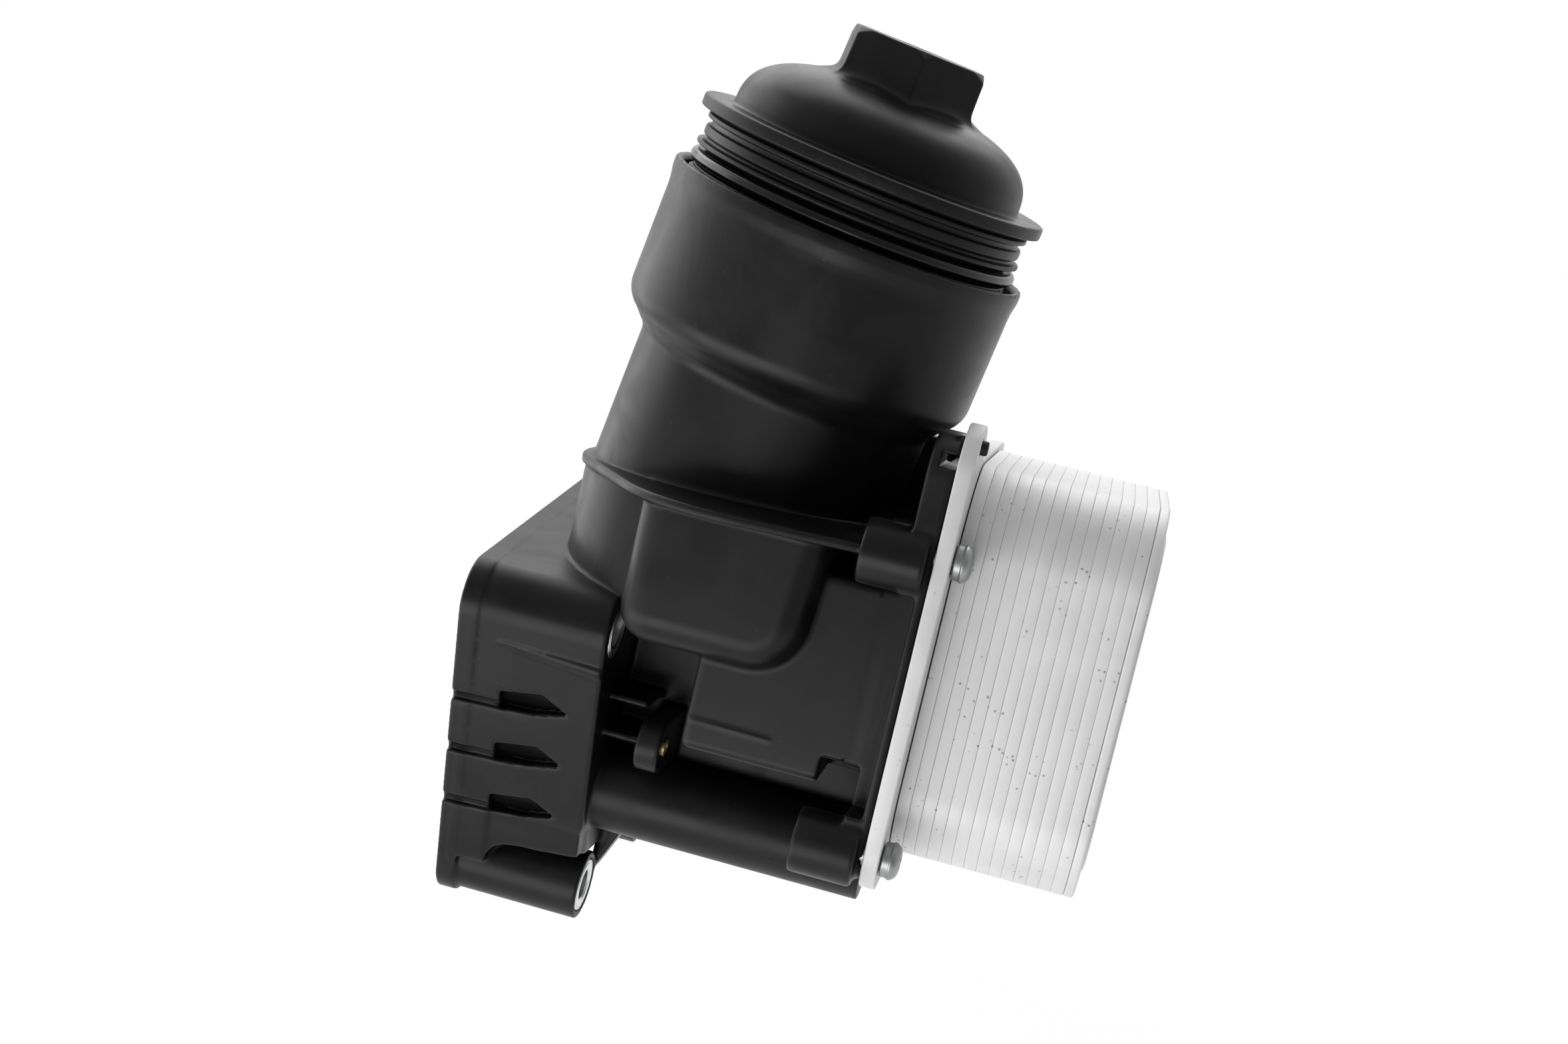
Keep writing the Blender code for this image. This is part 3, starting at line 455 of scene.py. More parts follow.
def alongBowl(x, y, z):      # distance from the bowl's axis, and height up it
    dx, dy, dz = x - bowl["footX"], y - bowl["footY"], z - bowl["top"]
    height = dx * bowlAxis.x + dy * bowlAxis.y + dz * bowlAxis.z
    radius = np.sqrt(np.maximum(dx * dx + dy * dy + dz * dz - height * height, 0))
    return radius, height


def arc(u, v, radius, start, end, steps=10):      # from one angle to another, in degrees
    angles = [math.radians(start + (end - start) * i / steps) for i in range(steps + 1)]
    return [(u + radius * math.cos(a), v + radius * math.sin(a)) for a in angles]


def bowlOutside():
    b = bowl
    shoulder = arc(b["upper"] - 8.0, b["shoulderTop"] + 1.5, 8.0, 0, -52)
    foot = arc(b["lower"] + 5.0, b["shoulderFoot"] - 2.2, 5.0, 128, 180)
    return [(0.0, b["rim"]), *arc(b["rimRadius"] - 0.9, b["rim"] - 0.9, 0.9, 90, 0, 5),
            (b["rimRadius"], b["rim"] - b["rimBand"]), (b["upper"] + 0.1, b["rim"] - b["rimBand"] - 3.0),
            (b["upper"], b["rim"] - b["rimBand"] - 5.0), *shoulder, *foot,
            (b["lower"], b["floor"]), (0.0, b["floor"])]


def bowlInside():
    b = bowl
    foot = b["floor"] - b["drainDepth"]
    return [(0.0, b["rim"] + 3), (b["bore"] + 4.2, b["rim"] + 3), (b["bore"], b["rim"] - 1.2),
            (b["bore"], b["boreFoot"]), (b["chamber"], b["chamberTop"]), (b["chamber"], b["floor"] + 3),
            (b["chamber"] - 3, b["floor"]), (b["drain"] + 1, b["floor"]), (b["drain"], b["floor"] - 1),
            (b["drain"], foot), (0.0, foot)]


# the housing

engine = {"depth": 39.5, "plate": 5.5, "inset": 0.4, "skirtZ": -31.0, "skirtRound": 1.5, "apron": 8.0,
          "lip": 0.6, "lipTop": -17.5, "barrel": 9.4, "sleeve": 7.2, "bore": 4.25, "boltWay": 8.6,
          "ridges": ((40.0, 40.0, 7.0, 0.28, 0.5),      # height at each end, start, rise, half width
                     (29.8, 27.9, 11.6, 0.9, 1.3))}
bosses = {"front_top": (-34.5, 38.7, 11.0), "front_foot": (-6.0, -38.0, 10.5),
          "rear_top": (66.0, 54.2, 11.0), "rear_foot": (56.0, -32.0, 10.5)}
body = {"neck": 42.4, "neckFoot": 42.0, "topPlate": 2.6,
        "panelX": (64.0, 114.6), "panelY": (-50.0, 42.0), "panelZ": (17.5, 69.2), "creaseZ": 25.2,
        "lobeX": (42.0, 90.2), "lobeY": (-57.5, 12.0), "lobeZ": 41.4, "lobeRound": 8.5, "lobeCorner": 14.0,
        "saddleY": (-9.0, 40.0), "saddleZ": (-6.0, 48.0), "duct": (-12.0, -7.6), "ductRadius": 11.6}
cooler = {"x": 115.6, "flange": 6.6, "base": 4.0, "baseY": (-62.0, 58.0), "baseZ": (-4.0, 113.0),
          "baseRound": 12.0, "ear": 24.0, "peg": (-53.0, 107.8), "pegRadius": 1.9,
          "stackY": (-50.0, 46.0), "stackZ": (1.6, 102.4), "stackRound": 21.0,
          "end": 168.0, "plates": 14, "cover": 3.4, "pressing": 7.0, "dimple": 9.0,
          "ports": ((-18.0, 80.0), (14.0, 80.0), (-18.0, 28.0), (14.0, 28.0)), "portRadius": 7.0,
          "screwY": (-56.0, 52.0), "screwZ": (5.4, 80.1), "shank": 3.0, "grip": 13.0,
          "boss": 8.2, "bossLength": 17.5, "bossHang": (0.6, 2.2), "web": (26.0, 30.0)}
screwPlaces = [(y, z) for z in cooler["screwZ"] for y in cooler["screwY"]]
lug = {"y": -30.0, "z": 11.3, "radius": 7.0, "reach": 20.0, "x": (50.6, 57.0), "insert": 2.6, "bore": 1.5,
       "ribs": ((20.4, 50.2), (10.6, 52.5)), "ribY": -28.0, "ribHalf": 0.9}
gills = {"z": (11.3, -3.8, -19.3), "x": (14.0, 31.5), "depth": 5.5, "height": 8.3, "slit": 1.6}
hidden = {"ports": ((14.0, 24.0, 9.0), (27.0, -10.0, 8.0)), "portDepth": 30.0, "groove": (3.0, 2.6, 1.8),
          "coringDepth": 26.0,
          "coring": (((-26.0, 8.0), (-6.0, 30.0)), ((-12.0, -25.0), (6.0, -6.0)),
                     ((34.0, 8.0), (56.0, 28.0)), ((24.0, 41.0), (46.0, 52.0)),
                     ((-16.0, 39.0), (6.0, 47.0)))}


def inset(boss):
    return (boss[0], boss[1], boss[2] - engine["inset"])


def flangeFront(z):      # y of the engine box's front wall at a height
    (y0, z0, r0), (y1, z1, r1) = inset(bosses["front_top"]), inset(bosses["front_foot"])
    along = math.atan2(z1 - z0, y1 - y0)
    normal = along - math.acos((r0 - r1) / math.hypot(y1 - y0, z1 - z0))
    return y0 + r0 * math.cos(normal) + (z - z0 - r0 * math.sin(normal)) * math.cos(along) / math.sin(along)


def scallop():      # the box's lower front edge arches up beside a short apron at the plate
    edge, apron, end = engine["skirtZ"], engine["plate"] + engine["apron"], engine["depth"] + 1.0
    arch = [(apron + 0.6, edge - 2.4), (apron + 2.4, edge + 0.2), (apron + 5.0, edge + 1.6),
            (apron + 9.0, edge + 2.3), (apron + 15.0, edge + 2.6), (end, edge + 3.8)]
    return [(engine["plate"] - 0.4, edge - 20.0), (end, edge - 20.0), *reversed(arch),
            (apron, edge - 4.6), (engine["plate"] - 0.4, edge - 5.0)]


def addEngineFlange(field):
    deep, plate, corner = engine["depth"], engine["plate"], engine["skirtRound"]
    outline = belt([bosses[place] for place in ("front_foot", "rear_foot", "rear_top", "front_top")])
    addShape(field, *prism(outline, 0, 0.0, plate, 0.6))
    low, rear = engine["skirtZ"] - 5.0, bosses["rear_foot"]
    walls = belt([(flangeFront(low) + corner, low, corner), inset((rear[0], engine["skirtZ"] + 8.0, rear[2])),
                  inset(bosses["rear_top"]), inset(bosses["front_top"])])
    lowest, highest, whole = prism(walls, 0, plate - 3.0, deep, 1.1)

    def arched(x, y, z):      # the box, set back by a lip's height past the apron's edge
        arch = np.maximum(outlineDistance(scallop(), x, z), y - 40.0)
        near = np.clip((flangeFront(z) + 8 - y) / 3, 0, 1) * np.clip((engine["lipTop"] - z) / 2, 0, 1)
        past = 1 / (1 + np.exp(np.clip((plate + engine["apron"] - 0.1 - x) * 4, -30, 30)))
        return -blended(-whole(x, y, z), arch, 1.0) + engine["lip"] * near * past

    addShape(field, lowest, highest, arched, 0.7)
    for place in ("front_foot", "rear_foot"):
        addShape(field, *bar(bosses[place][:2], engine["barrel"], 0, plate - 3.0, deep + 0.2, 0.7), 0.8)
    for left, right, start, rise, half in engine["ridges"]:
        def ridge(x, y, z):      # it widens and rises towards the box's open end
            share = np.clip((x - start) / (deep - start), 0, 1)
            middle = left + (right - left) * (x - start) / (deep - start)
            wide = half * (0.55 + 0.75 * share)
            tall = rise * (0.35 + 0.65 * share)
            across = np.hypot(z - middle, (y - flangeFront(z)) * wide / tall) - wide
            return np.maximum(across, np.maximum(start - x, x - deep + 0.5))

        addShape(field, (start - 1, -50, right - 3), (deep, -20, left + 3), ridge, 0.5)


def addBody(field):
    b, foot, deep = body, (bowl["footX"], bowl["footY"]), engine["depth"]
    addShape(field, (6, -62, 55), (122, 52, 168),
             lambda x, y, z: turnedDistance(bowlOutside(), *alongBowl(x, y, z)))
    addShape(field, *bar(foot, b["neck"], 2, b["neckFoot"], bowl["top"] - 0.4, 1.0), 1.2)

    (x0, x1), z0, r, wide = b["lobeX"], b["lobeZ"], b["lobeRound"], b["lobeCorner"]
    side, roof = x1 - r + 0.8, 90.0
    pouch = belt([(x0 + r, z0 + r, r), (x1 - wide - 1.0, z0 + wide, wide), (side, z0 + 34.0, r),
                  (side, roof, r), (x0 + r, roof, r)], 3.0)
    low, high, lobe = prism(pouch, 1, *b["lobeY"], r - 0.5)
    addShape(field, low, high, lambda x, y, z: np.maximum(lobe(x, y, z), z - bowl["top"] + 1.0), 3.0)

    low, high = zip(b["panelX"], b["panelY"], b["panelZ"])
    low, high, whole = block(low, (high[0] + 4, *high[1:]), 2.2)

    def panel(x, y, z):      # with a faint crease low on its front
        crease = 0.22 * np.exp(-((z - b["creaseZ"] + (x - 70) * 0.01) / 0.5) ** 2) * (y < -45) * (x < 86)
        return np.maximum(whole(x, y, z), x - b["panelX"][1]) - crease

    addShape(field, low, high, panel, 1.6)
    addShape(field, *block((deep - 8.0, b["saddleY"][0], b["saddleZ"][0]),
                           (b["panelX"][1] - 2.0, b["saddleY"][1], b["saddleZ"][1]), 2.0), 1.5)
    addShape(field, *bar(b["duct"], b["ductRadius"], 0, deep - 6.0, cooler["x"] - 2.0), 1.5)
    top = belt([(foot[0] + 5.0, foot[1] - 34.0, 30.0), (106.0, -47.0, 8.0), (106.0, 38.0, 8.0),
                (*foot, b["neck"] + 1.4)])
    addShape(field, *prism(top, 2, bowl["top"] - b["topPlate"], bowl["top"], 0.8), 0.7)


def addCoolerFlange(field):
    c, face, back = cooler, cooler["x"], cooler["x"] - cooler["flange"]
    (y0, y1), (z0, z1) = c["baseY"], c["baseZ"]
    outline = roundedBox((y0 + 1.5, z0 + 1.5), (y1 - 1.5, z1 - 3.6), c["baseRound"] - 1.5)
    dip = roundedBox((y0 + c["ear"], z1 - 15.0), (y1 + 20.0, z1 + 20.0), 4.0, 12.0)

    def flange(x, y, z):
        flat = np.maximum(outlineDistance(outline, y, z), -outlineDistance(dip, y, z))
        return extruded(flat, x, back, face, 0.8)

    addShape(field, (back, y0, z0), (face, y1, z1), flange, 1.0)
    front, (bottom, top) = body["panelY"][0], body["panelZ"]
    relief = block((back - 6.0, -70.0, bottom - 3.0), (face - 2.2, front + 0.4, top + 0.5), 0.6)
    cutShape(field, (back, y0, bottom), (face - 2.2, front, top), relief[2], 0.5)
    addShape(field, *block((body["panelX"][0], c["web"][0], top - 1.5),
                           (face - 1.5, c["web"][1], z1 - 11.0), 0.8), 1.2)
    for y, z in screwPlaces:
        middle = (y, z - c["bossHang"][z > 50])
        addShape(field, *bar(middle, c["boss"], 0, face - c["bossLength"], face - 1.5, 0.8), 1.0)
    addShape(field, *bar(c["peg"], c["pegRadius"], 0, face - 1.5, face + c["base"] + 2.0, 0.4), 0.3)


def addLug(field):
    deep, saddle = engine["depth"], body["saddleY"][0]
    ends = belt([(y, lug["z"], lug["radius"]) for y in (lug["y"], lug["y"] + lug["reach"])])
    addShape(field, *prism(ends, 0, *lug["x"], 0.7), 0.8)
    for z, reach in lug["ribs"]:
        addShape(field, *block((deep - 1.5, lug["ribY"], z - lug["ribHalf"]),
                               (reach, saddle + 1.5, z + lug["ribHalf"]), 0.35), 0.5)
    clear = bosses["front_foot"][0] + engine["sleeve"] + 1.0
    gusset = [(deep - 1.5, -38.0), (47.5, -17.5), (deep - 1.5, -17.5)]
    addShape(field, *prism(gusset, 1, clear, clear + 12.0), 0.8)


def cutScoop(field, outline, z0, depth, height):      # a pocket in the box's front wall, shallower upwards
    def scoop(x, y, z):
        reach = depth * (1.0 - (z - z0) / (height + 0.6))
        return np.maximum(outlineDistance(outline, x, z), (y - flangeFront(z) - reach) * 0.85)

    left, right = min(p[0] for p in outline), max(p[0] for p in outline)
    cutShape(field, (left, -50, z0 - 1), (right, 0, z0 + height + 1), scoop, 0.5)


def cutHousing(field):
    deep, c, face = engine["depth"], cooler, cooler["x"]
    cutShape(field, (6, -62, 35), (122, 52, 170),
             lambda x, y, z: turnedDistance(bowlInside(), *alongBowl(x, y, z)), 0.6)
    for y, z, _ in bosses.values():
        cutShape(field, *bar((y, z), engine["sleeve"] + gap, 0, -4.0, deep + 4.0), 0.4)
    offset, wide, depth = hidden["groove"]
    for y0, z0, radius in hidden["ports"]:
        cutShape(field, *bar((y0, z0), radius, 0, -4.0, hidden["portDepth"], 0.8), 0.8)

        def groove(x, y, z):
            flat = np.abs(np.hypot(y - y0, z - z0) - radius - offset - wide / 2) - wide / 2
            return extruded(flat, x, -4.0, depth, 0.3)

        cutShape(field, (-2, y0 - 16, z0 - 16), (depth, y0 + 16, z0 + 16), groove, 0.2)
    for low, high in hidden["coring"]:
        cutShape(field, *prism(roundedBox(low, high, 2.5, 12.0), 0, -4.0, hidden["coringDepth"], 1.0), 0.6)
    cutShape(field, *bar(bosses["front_top"][:2], engine["boltWay"], 0,
                         deep + 0.5, body["panelX"][0] - 0.5), 0.5)
    (x0, x1), high, slit = gills["x"], gills["height"], gills["slit"]
    for z0 in gills["z"]:
        cutScoop(field, [(x0 - 0.8, z0 + 0.2), (x0 + 8.5, z0 + 1.0), (x1, z0 + 3.1),
                         (x1 - 7.0, z0 + high * 0.82), (x0 - 0.8, z0 + high * 0.6)], z0, gills["depth"], high)
        cutScoop(field, [(-2.0, z0 - 0.5), (x0 + 1, z0 + 0.2), (x0 + 1, z0 + 2.4), (-2.0, z0 + 1.6)],
                 z0 - 0.5, slit, 3.4)
    for place in screwPlaces:
        cutShape(field, *bar(place, c["shank"] + gap, 0, face - c["grip"] - 1.0, face + 4.0))
    notchFoot = c["screwZ"][0] + c["boss"] - 2.0
    cutShape(field, *block((99.4, body["panelY"][0] - 4.0, notchFoot),
                           (face - c["flange"] + 0.3, -26.0, 24.3), 0.8), 0.6)
    cutShape(field, *block((111.4, c["baseY"][0] - 4.0, 101.6), (face + 4.0, -30.0, 104.9)), 0.3)
    cutShape(field, *bar((lug["y"], lug["z"]), lug["insert"], 0, lug["x"][0] - 4.0, lug["x"][1] + 4.0), 0.3)


def dress(piece, material, body, slot, *nodes):
    piece.data.materials.clear()
    piece.data.materials.append(finishes[material])
    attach(piece, body)
    if nodes:
        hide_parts(*nodes)
    return piece


def makeHousing():
    field = emptyField((-3, -65, -52), (125, 80, 168), 0.74)
    addBody(field)
    addEngineFlange(field)
    addCoolerFlange(field)
    addLug(field)
    cutHousing(field)
    piece = meshFromField("housing_moulding", field, 196000)
    return dress(piece, "housing", "module", "black_nylon", "housing")


makeHousing()
print("housing moulded")


# the screw cap, in its own frame: local Z runs up from the flange's underside

cap = {"open": 14.0, "flange": 46.9, "thick": 3.3, "dome": 39.3, "domeHeight": 17.4, "domePower": 2.6,
       "wall": 3.0, "hex": 35.0, "hexHeight": 12.5, "hexTurn": 43.6, "hexTop": 17.8, "hexBore": 7.5,
       "ribs": ((1.7, 1.7, 44.2), (5.4, 2.8, 43.8), (8.6, 1.5, 44.7)),      # drop, width, radius
       "collar": 42.6, "sealDrop": 12.1, "cord": 1.75, "sealReach": 45.1,
       "skirt": 43.4, "skirtLength": 12.0, "skirtWall": 3.2, "pitch": 4.0}
capPlace = bowlPlace @ Matrix.Translation(Vector((0, 0, bowl["rim"] + cap["open"])) * mm)


def dome(radius, height, base, narrow, steps):      # fuller than an ellipse, from the narrow end down
    power = cap["domePower"]
    start = math.acos((narrow / radius) ** (power / 2))
    return [(radius * math.cos(start * (1 - i / steps)) ** (2 / power),
             base + height * math.sin(start * (1 - i / steps)) ** (2 / power)) for i in range(steps + 1)]


def capProfile():
    c = cap
    top, crown = c["thick"], c["thick"] + c["domeHeight"]
    outer = [(0.0, crown + 2.0), (16.6, crown + 2.0), (18.6, crown + 0.6),
             *dome(c["dome"], c["domeHeight"], top + 0.6, 23.0, 24),
             (c["dome"] + 0.4, top + 0.2), (c["dome"] + 1.0, top),
             (c["flange"] - 0.5, top), (c["flange"], top - 0.5),
             (c["flange"], 0.25), (c["flange"] - 0.25, 0.0), (c["collar"], 0.0)]
    for drop, width, radius in c["ribs"]:
        high, low = width / 2 - drop, -width / 2 - drop
        outer += [(c["collar"], high), (radius - 0.2, high - 0.15), (radius, high - 0.35),
                  (radius, low + 0.35), (radius - 0.2, low + 0.15), (c["collar"], low)]
    half = c["cord"] + gap
    high, low = half - c["sealDrop"], -half - c["sealDrop"]
    groove = c["sealReach"] - 2 * c["cord"] - gap
    foot = low - c["skirtLength"]
    outer += [(c["collar"], high), (groove, high), (groove, low),
              (c["skirt"], low), (c["skirt"], foot + 0.6), (c["skirt"] - 0.6, foot)]
    thin, hollow = c["skirt"] - c["skirtWall"], groove - c["wall"]
    ceiling = dome(c["dome"] - c["wall"], c["domeHeight"] - c["wall"], top + 0.4, 14.0, 12)
    inner = [(thin, foot), (thin, -c["sealDrop"] - 4.0), (hollow, -c["sealDrop"] - 2.0),
             (hollow, top - 1.0), *reversed(ceiling)]
    return outer + inner + [(0.0, inner[-1][1])]


def makeCap():
    c = cap
    crown = c["thick"] + c["domeHeight"]
    tip = crown + c["hexHeight"]
    foot = -c["sealDrop"] - c["cord"] - gap - c["skirtLength"]
    field = emptyField((-49, -49, foot - 2), (49, 49, tip + 2), 0.5)
    corners = c["hex"] / math.cos(math.radians(30)) / 2
    turn = math.radians(c["hexTurn"])
    angles = [turn + i * math.tau / 6 for i in range(6)]
    six = [(math.cos(a) * corners, math.sin(a) * corners) for a in angles]
    addShape(field, (-49, -49, foot), (49, 49, crown + 13),
             lambda x, y, z: turnedDistance(capProfile(), np.hypot(x, y) + 0 * z, z + 0 * x + 0 * y))

    def hexagon(x, y, z):
        whole = extruded(outlineDistance(six, x, y) + (z - crown) * 0.03, z, crown - 1.0, tip, 0.7)
        return np.maximum(whole, (np.hypot(x, y) - c["hexTop"] + z - tip) * 0.7)

    addShape(field, (-20, -20, crown - 1), (20, 20, crown + 13), hexagon, 2.6)
    cutShape(field, *bar((0.0, 0.0), c["hexBore"], 2, tip - 0.5, tip + 4), 0.4)
    low, high = foot + 1.4, -c["sealDrop"] - c["cord"] - gap - 1.2

    def thread(x, y, z):      # its crest stands out where the share of a turn is a half
        share = (z / c["pitch"] - np.arctan2(y, x) / math.tau) % 1.0
        crest = 1.3 * np.clip(2.2 * (0.5 - np.abs(share - 0.5)) - 0.25, -0.5, 0.6)
        outer = np.hypot(x, y) - c["skirt"] - crest - 0.4
        inner = c["skirt"] - 1.0 - np.hypot(x, y)
        return np.maximum(outer, np.maximum(np.maximum(low - z, z - high), inner)) * 0.8

    addShape(field, (-46, -46, low), (46, 46, high), thread)
    piece = meshFromField("cap_moulding", field, 150000, capPlace)
    dress(piece, "cap", "cap", "cap_nylon", "screw_cap")
    section = arc(c["sealReach"] - c["cord"], -c["sealDrop"], c["cord"], 90, -270, 24)[:-1]
    cord = ringMesh("cap_seal_ring", section, capPlace, 160)
    dress(cord, "rubber", "cap", "black_rubber", "cap_seal")


def ringMesh(name, profile, place, steps, closed=True):      # a profile turned about local Z
    count = len(profile)
    points = []
    for i in range(steps):
        angle = math.tau * i / steps
        points += [place @ (Vector((r * math.cos(angle), r * math.sin(angle), h)) * mm) for r, h in profile]
    faces = []
    for i in range(steps):
        a, b = i * count, (i + 1) % steps * count
        for j in range(count if closed else count - 1):
            k = (j + 1) % count
            faces.append((a + j, a + k, b + k, b + j))
    mesh = bpy.data.meshes.new(name)
    mesh.from_pydata(points, [], faces)
    cleaned(mesh)
    smoothed(mesh, 32)
    return linked(name, mesh)


makeCap()
print("cap moulded")


# the cooler, its screws and the bolt sleeves

axisX = Matrix(((0, 0, 1, 0), (1, 0, 0, 0), (0, 1, 0, 0), (0, 0, 0, 1)))


def plateMesh(name, outlines, low, high, rounding, steps=3):      # outlines in y and z, thick along x
    curve = bpy.data.curves.new(name, "CURVE")
    curve.dimensions = "2D"
    curve.fill_mode = "BOTH"
    curve.extrude = ((high - low) / 2 - rounding) * mm
    curve.bevel_depth = rounding * mm
    curve.offset = -rounding * mm
    curve.bevel_resolution = steps
    for outline in outlines:
        line = curve.splines.new("POLY")
        line.points.add(len(outline) - 1)
        for point, (u, v) in zip(line.points, outline):
            point.co = (u * mm, v * mm, 0.0, 1.0)
        line.use_cyclic_u = True
    mesh = settledMesh(name, linked(name + "_guide", curve))
    mesh.transform(Matrix.Translation(Vector(((low + high) / 2 * mm, 0, 0))) @ axisX)
    cleaned(mesh)
    smoothed(mesh, 35)
    return linked(name, mesh)


def makeCooler():
    c = cooler
    start = c["x"] + gap
    (y0, y1), (z0, z1), r = c["baseY"], c["baseZ"], c["baseRound"]
    edge, bend = c["stackZ"][1] + 1.0, 6.0      # the base's top edge, and the bend up to its front ear
    outlines = [[*arc(y0 + r, z0 + r, r, 180, 270), *arc(y1 - r, z0 + r, r, 270, 360),
                 *arc(y1 - r, edge - r, r, 0, 90), *arc(y0 + c["ear"] + bend, edge + bend, bend, 270, 200),
                 *arc(y0 + r, z1 - r, r, 60, 180)]]
    outlines += [circle(y, z, c["shank"] + gap, 32) for y, z in screwPlaces]
    outlines += [circle(y, z, c["portRadius"], 48) for y, z in c["ports"]]
    outlines.append(circle(*c["peg"], c["pegRadius"] + gap, 32))
    base = plateMesh("cooler_base", outlines, start, start + c["base"], 0.45)
    dress(base, "plate", "module", "cooler_aluminium", "cooler_base_plate")

    (y0, y1), (z0, z1), r = c["stackY"], c["stackZ"], c["stackRound"]
    outline = roundedBox((y0, z0), (y1, z1), r, 3.0)
    first = start + c["base"] + gap
    pitch = (c["end"] - c["cover"] - first) / c["plates"]
    for number in range(c["plates"]):
        low = first + pitch * number
        piece = plateMesh(f"plate_{number + 1:02d}", [outline], low + 0.01, low + pitch - 0.01, 0.14)
        dress(piece, "aluminium", "module", "cooler_aluminium", f"core_plate_{number + 1:02d}")
    cover = plateMesh("cover_plate", [outline], c["end"] - c["cover"], c["end"] - 0.8, 0.6)
    dress(cover, "aluminium", "module", "cooler_aluminium", "cooler_cover")
    inward = c["pressing"]
    inner = roundedBox((y0 + inward, z0 + inward), (y1 - inward, z1 - inward), r - inward, 5.0)
    dimples = [circle(y, z, c["dimple"], 48) for y, z in c["ports"]]
    pad = plateMesh("cover_pressing", [inner, *dimples], c["end"] - 1.6, c["end"], 0.7, 4)
    dress(pad, "aluminium", "module", "cooler_aluminium")


def makeScrews():
    c = cooler
    seat = c["x"] + gap + c["base"] + gap
    high, wide, shank, tip = 4.4, 4.4, c["shank"], -c["grip"] - 4.9
    low, top = (-6, -6, -c["grip"] - 6), (6, 6, high + 1)
    field = emptyField(low, top, 0.16)
    profile = [(0.0, high), (2.4, high), *arc(wide - 2.2, high - 2.6, 2.6, 80, 0, 8)[1:-1],
               (wide, high - 2.6), (wide, 0.3), (wide - 0.3, 0.0), (shank, 0.0), (shank, tip + 0.6),
               (shank - 0.6, tip), (0.0, tip)]
    addShape(field, low, top,
             lambda x, y, z: turnedDistance(profile, np.hypot(x, y) + 0 * z, z + 0 * x + 0 * y))

    def recess(x, y, z):      # six lobes
        flat = np.hypot(x, y) - 2.0 - 0.42 * np.cos(6 * np.arctan2(y, x))
        return extruded(flat, z, high - 2.4, high + 3)

    cutShape(field, (-3, -3, 1), (3, 3, high + 1), recess, 0.15)
    for number, (y, z) in enumerate(screwPlaces, 1):
        turn = Matrix.Rotation(0.4 * number, 4, "Z")
        place = Matrix.Translation(Vector((seat, y, z)) * mm) @ axisX @ turn
        piece = meshFromField(f"pan_screw_{number}", field, 24000, place)
        dress(piece, "screw", "module", "zinc_steel", f"cooler_screw_{number}")


def makeSleeves():
    deep, radius, bore = engine["depth"], engine["sleeve"], engine["bore"]
    for name, (y, z, _) in bosses.items():
        ring = [(bore + 0.5, deep), (radius - 1.1, deep), (radius - 1.0, deep - 0.25),
                (radius - 0.8, deep - 0.25), (radius - 0.7, deep - 0.05), (radius - 0.25, deep - 0.05),
                (radius, deep - 0.35), (radius, 0.3), (radius - 0.3, 0.0), (bore + 0.5, 0.0),
                (bore, 0.5), (bore, deep - 0.5)]
        place = Matrix.Translation(Vector((0, y, z)) * mm) @ axisX
        dress(ringMesh("bushing_" + name, ring, place, 96), "zinc", "module", "zinc_steel", "sleeve_" + name)
    inner, outer, (start, end) = lug["bore"], lug["insert"] - gap, lug["x"]
    ring = [(inner, end + 0.5), (outer, end + 0.5), (outer, start), (inner, start)]
    place = Matrix.Translation(Vector((0, lug["y"], lug["z"])) * mm) @ axisX
    dress(ringMesh("lug_bushing", ring, place, 48), "brass", "module", "brass", "lug_insert")


makeCooler()
makeScrews()
makeSleeves()
print("cooler, screws and sleeves made")


# the valve's spring, wound at one length; on the real valve it shortens as the valve opens

spring = {"radius": 5.2, "wire": 0.5, "top": 85.8, "foot": 70.9, "turns": 4, "travel": 5.0}


def makeSpring():
    s = spring
    low, high = s["foot"] + s["wire"], s["top"] - s["wire"]
    steps = s["turns"] * 40
    curve = bpy.data.curves.new("valve_coil", "CURVE")
    curve.dimensions = "3D"
    curve.bevel_depth = s["wire"] * mm
    curve.bevel_resolution = 3
    curve.use_fill_caps = True
    line = curve.splines.new("POLY")
    line.points.add(steps)
    for i, point in enumerate(line.points):
        angle = math.tau * s["turns"] * i / steps
        across, sideways = s["radius"] * math.cos(angle), s["radius"] * math.sin(angle)
        height = high - (high - low) * i / steps
        point.co = (across * mm, sideways * mm, height * mm, 1.0)
    mesh = settledMesh("valve_coil", linked("valve_coil_guide", curve))
    mesh.transform(bowlPlace)
    smoothed(mesh, 40)
    coil = linked("valve_coil", mesh)
    dress(coil, "zinc", "cartridge", "zinc_steel", "bypass_spring")
    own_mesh(coil)


makeSpring()
print("spring wound")


# the cartridge and its valve keep their CAD shapes and take finer materials

carried = {"filter_pleats": "paper", "centre_tube": "green",
           "upper_end_disc": "felt", "lower_end_disc": "felt", "drain_seal": "rubber",
           "bypass_plunger": "green", "bypass_cage": "green"}
for node, material in carried.items():
    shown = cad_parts[node].data.materials
    shown.clear()
    shown.append(finishes[material])
print("cartridge dressed")


# floor, light and camera

studio = {"floorRadius": 1.1, "floorHeight": -0.30, "aim": (0.06, 0.0, 0.07)}


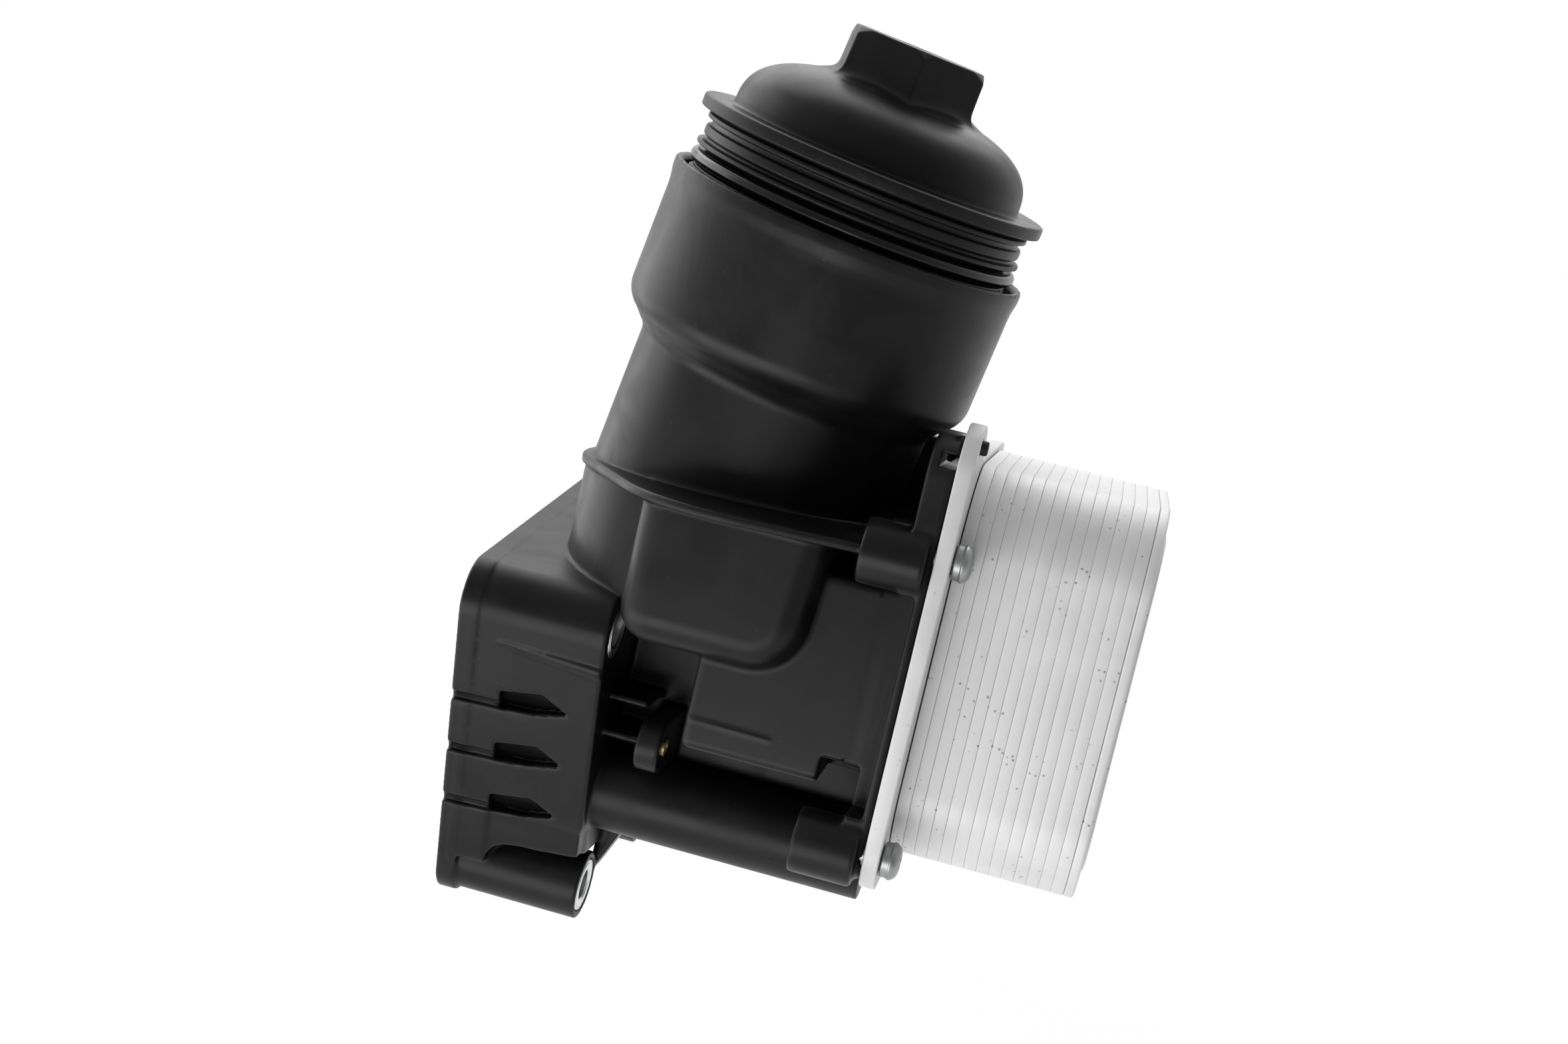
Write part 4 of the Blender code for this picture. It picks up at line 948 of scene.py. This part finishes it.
def makeFloor():
    mesh = bpy.data.meshes.new("studio_floor")
    rim = [(u, v, studio["floorHeight"]) for u, v in circle(0.0, 0.0, studio["floorRadius"])]
    mesh.from_pydata(rim, [], [tuple(range(96))])
    floor = linked("studio_floor", mesh)
    made = bpy.data.materials.new("pale_floor")
    made.use_nodes = True
    tree = made.node_tree
    shader = tree.nodes["Principled BSDF"]
    shader.inputs["Base Color"].default_value = grey(0.86)
    shader.inputs["Roughness"].default_value = 0.9
    paths = addNode(tree, "LightPath").outputs
    seen = addNode(tree, "Math", {0: paths["Is Camera Ray"], 1: paths["Is Glossy Ray"]}, operation="MAXIMUM")
    seen = addNode(tree, "Math", {0: seen.outputs[0], 1: paths["Is Transmission Ray"]}, operation="MAXIMUM")
    place = addNode(tree, "TexCoord").outputs["Object"]
    far = addNode(tree, "VectorMath", {0: place}, operation="LENGTH").outputs["Value"]
    fade = ranged(tree, far, 0.45, 1.0, 0.72, 1.0)
    share = addNode(tree, "Math", {0: seen.outputs[0], 1: fade}, operation="MULTIPLY")
    glow = addNode(tree, "Emission", {"Color": grey(1.0), "Strength": 1.0})
    mix = addNode(tree, "MixShader", {0: share.outputs[0], 1: shader.outputs[0], 2: glow.outputs[0]})
    tree.links.new(mix.outputs[0], tree.nodes["Material Output"].inputs["Surface"])
    mesh.materials.append(made)


def makeWorld():
    world = bpy.data.worlds.new("studio")
    scene.world = world
    world.use_nodes = True
    tree = world.node_tree
    paths = addNode(tree, "LightPath").outputs
    way = addNode(tree, "TexCoord").outputs["Generated"]
    front = addNode(tree, "VectorMath", {0: way, 1: (0.30, -0.93, 0.20)}, operation="DOT_PRODUCT")
    dimmed = ranged(tree, front.outputs["Value"], -0.2, 0.85, 1.0, 0.32)
    strength = addNode(tree, "Math", {0: dimmed, 1: paths["Is Camera Ray"]}, operation="MAXIMUM")
    shade = tree.nodes["Background"]
    shade.inputs["Color"].default_value = grey(1.0)
    tree.links.new(strength.outputs[0], shade.inputs["Strength"])


def lamp(name, place, aim, size, power):
    light = bpy.data.lights.new(name, "AREA")
    light.shape = "RECTANGLE"
    light.size, light.size_y = size
    light.energy = power
    made = linked(name, light)
    made.location = place
    made.rotation_euler = (Vector(aim) - Vector(place)).to_track_quat("-Z", "Y").to_euler()


def makeCamera():
    azimuth, elevation, roll = (math.radians(a) for a in (8.2, 7.5, 13.0))
    target, reach = Vector((70.0, 0.0, 72.0)) * mm, 0.560
    level = Vector((math.cos(azimuth), math.sin(azimuth), 0.0))
    away = Vector((math.sin(azimuth), -math.cos(azimuth), 0.0))
    back = away * math.cos(elevation) + Vector((0, 0, math.sin(elevation)))
    upright = back.cross(level)
    right = level * math.cos(roll) + upright * math.sin(roll)
    up = upright * math.cos(roll) - level * math.sin(roll)
    data = bpy.data.cameras.new("camera")
    data.sensor_width = 36.0
    data.lens = 36.0 * 3136.0 / 2356.0
    scene.camera = linked("camera", data)
    turn = Matrix((right, up, back)).transposed().to_4x4()
    scene.camera.matrix_world = Matrix.Translation(target + back * reach) @ turn


makeFloor()
makeWorld()
lamp("left_softbox", (-0.75, 0.25, 0.30), studio["aim"], (0.8, 1.0), 4.5)
lamp("top_softbox", (-0.1, 0.50, 0.80), studio["aim"], (1.0, 0.8), 5.0)
lamp("low_softbox", (-0.16, -0.32, -0.26), (0.02, -0.02, 0.03), (0.9, 0.45), 3.6)
makeCamera()
scene.view_settings.view_transform = "Standard"
print("studio made")
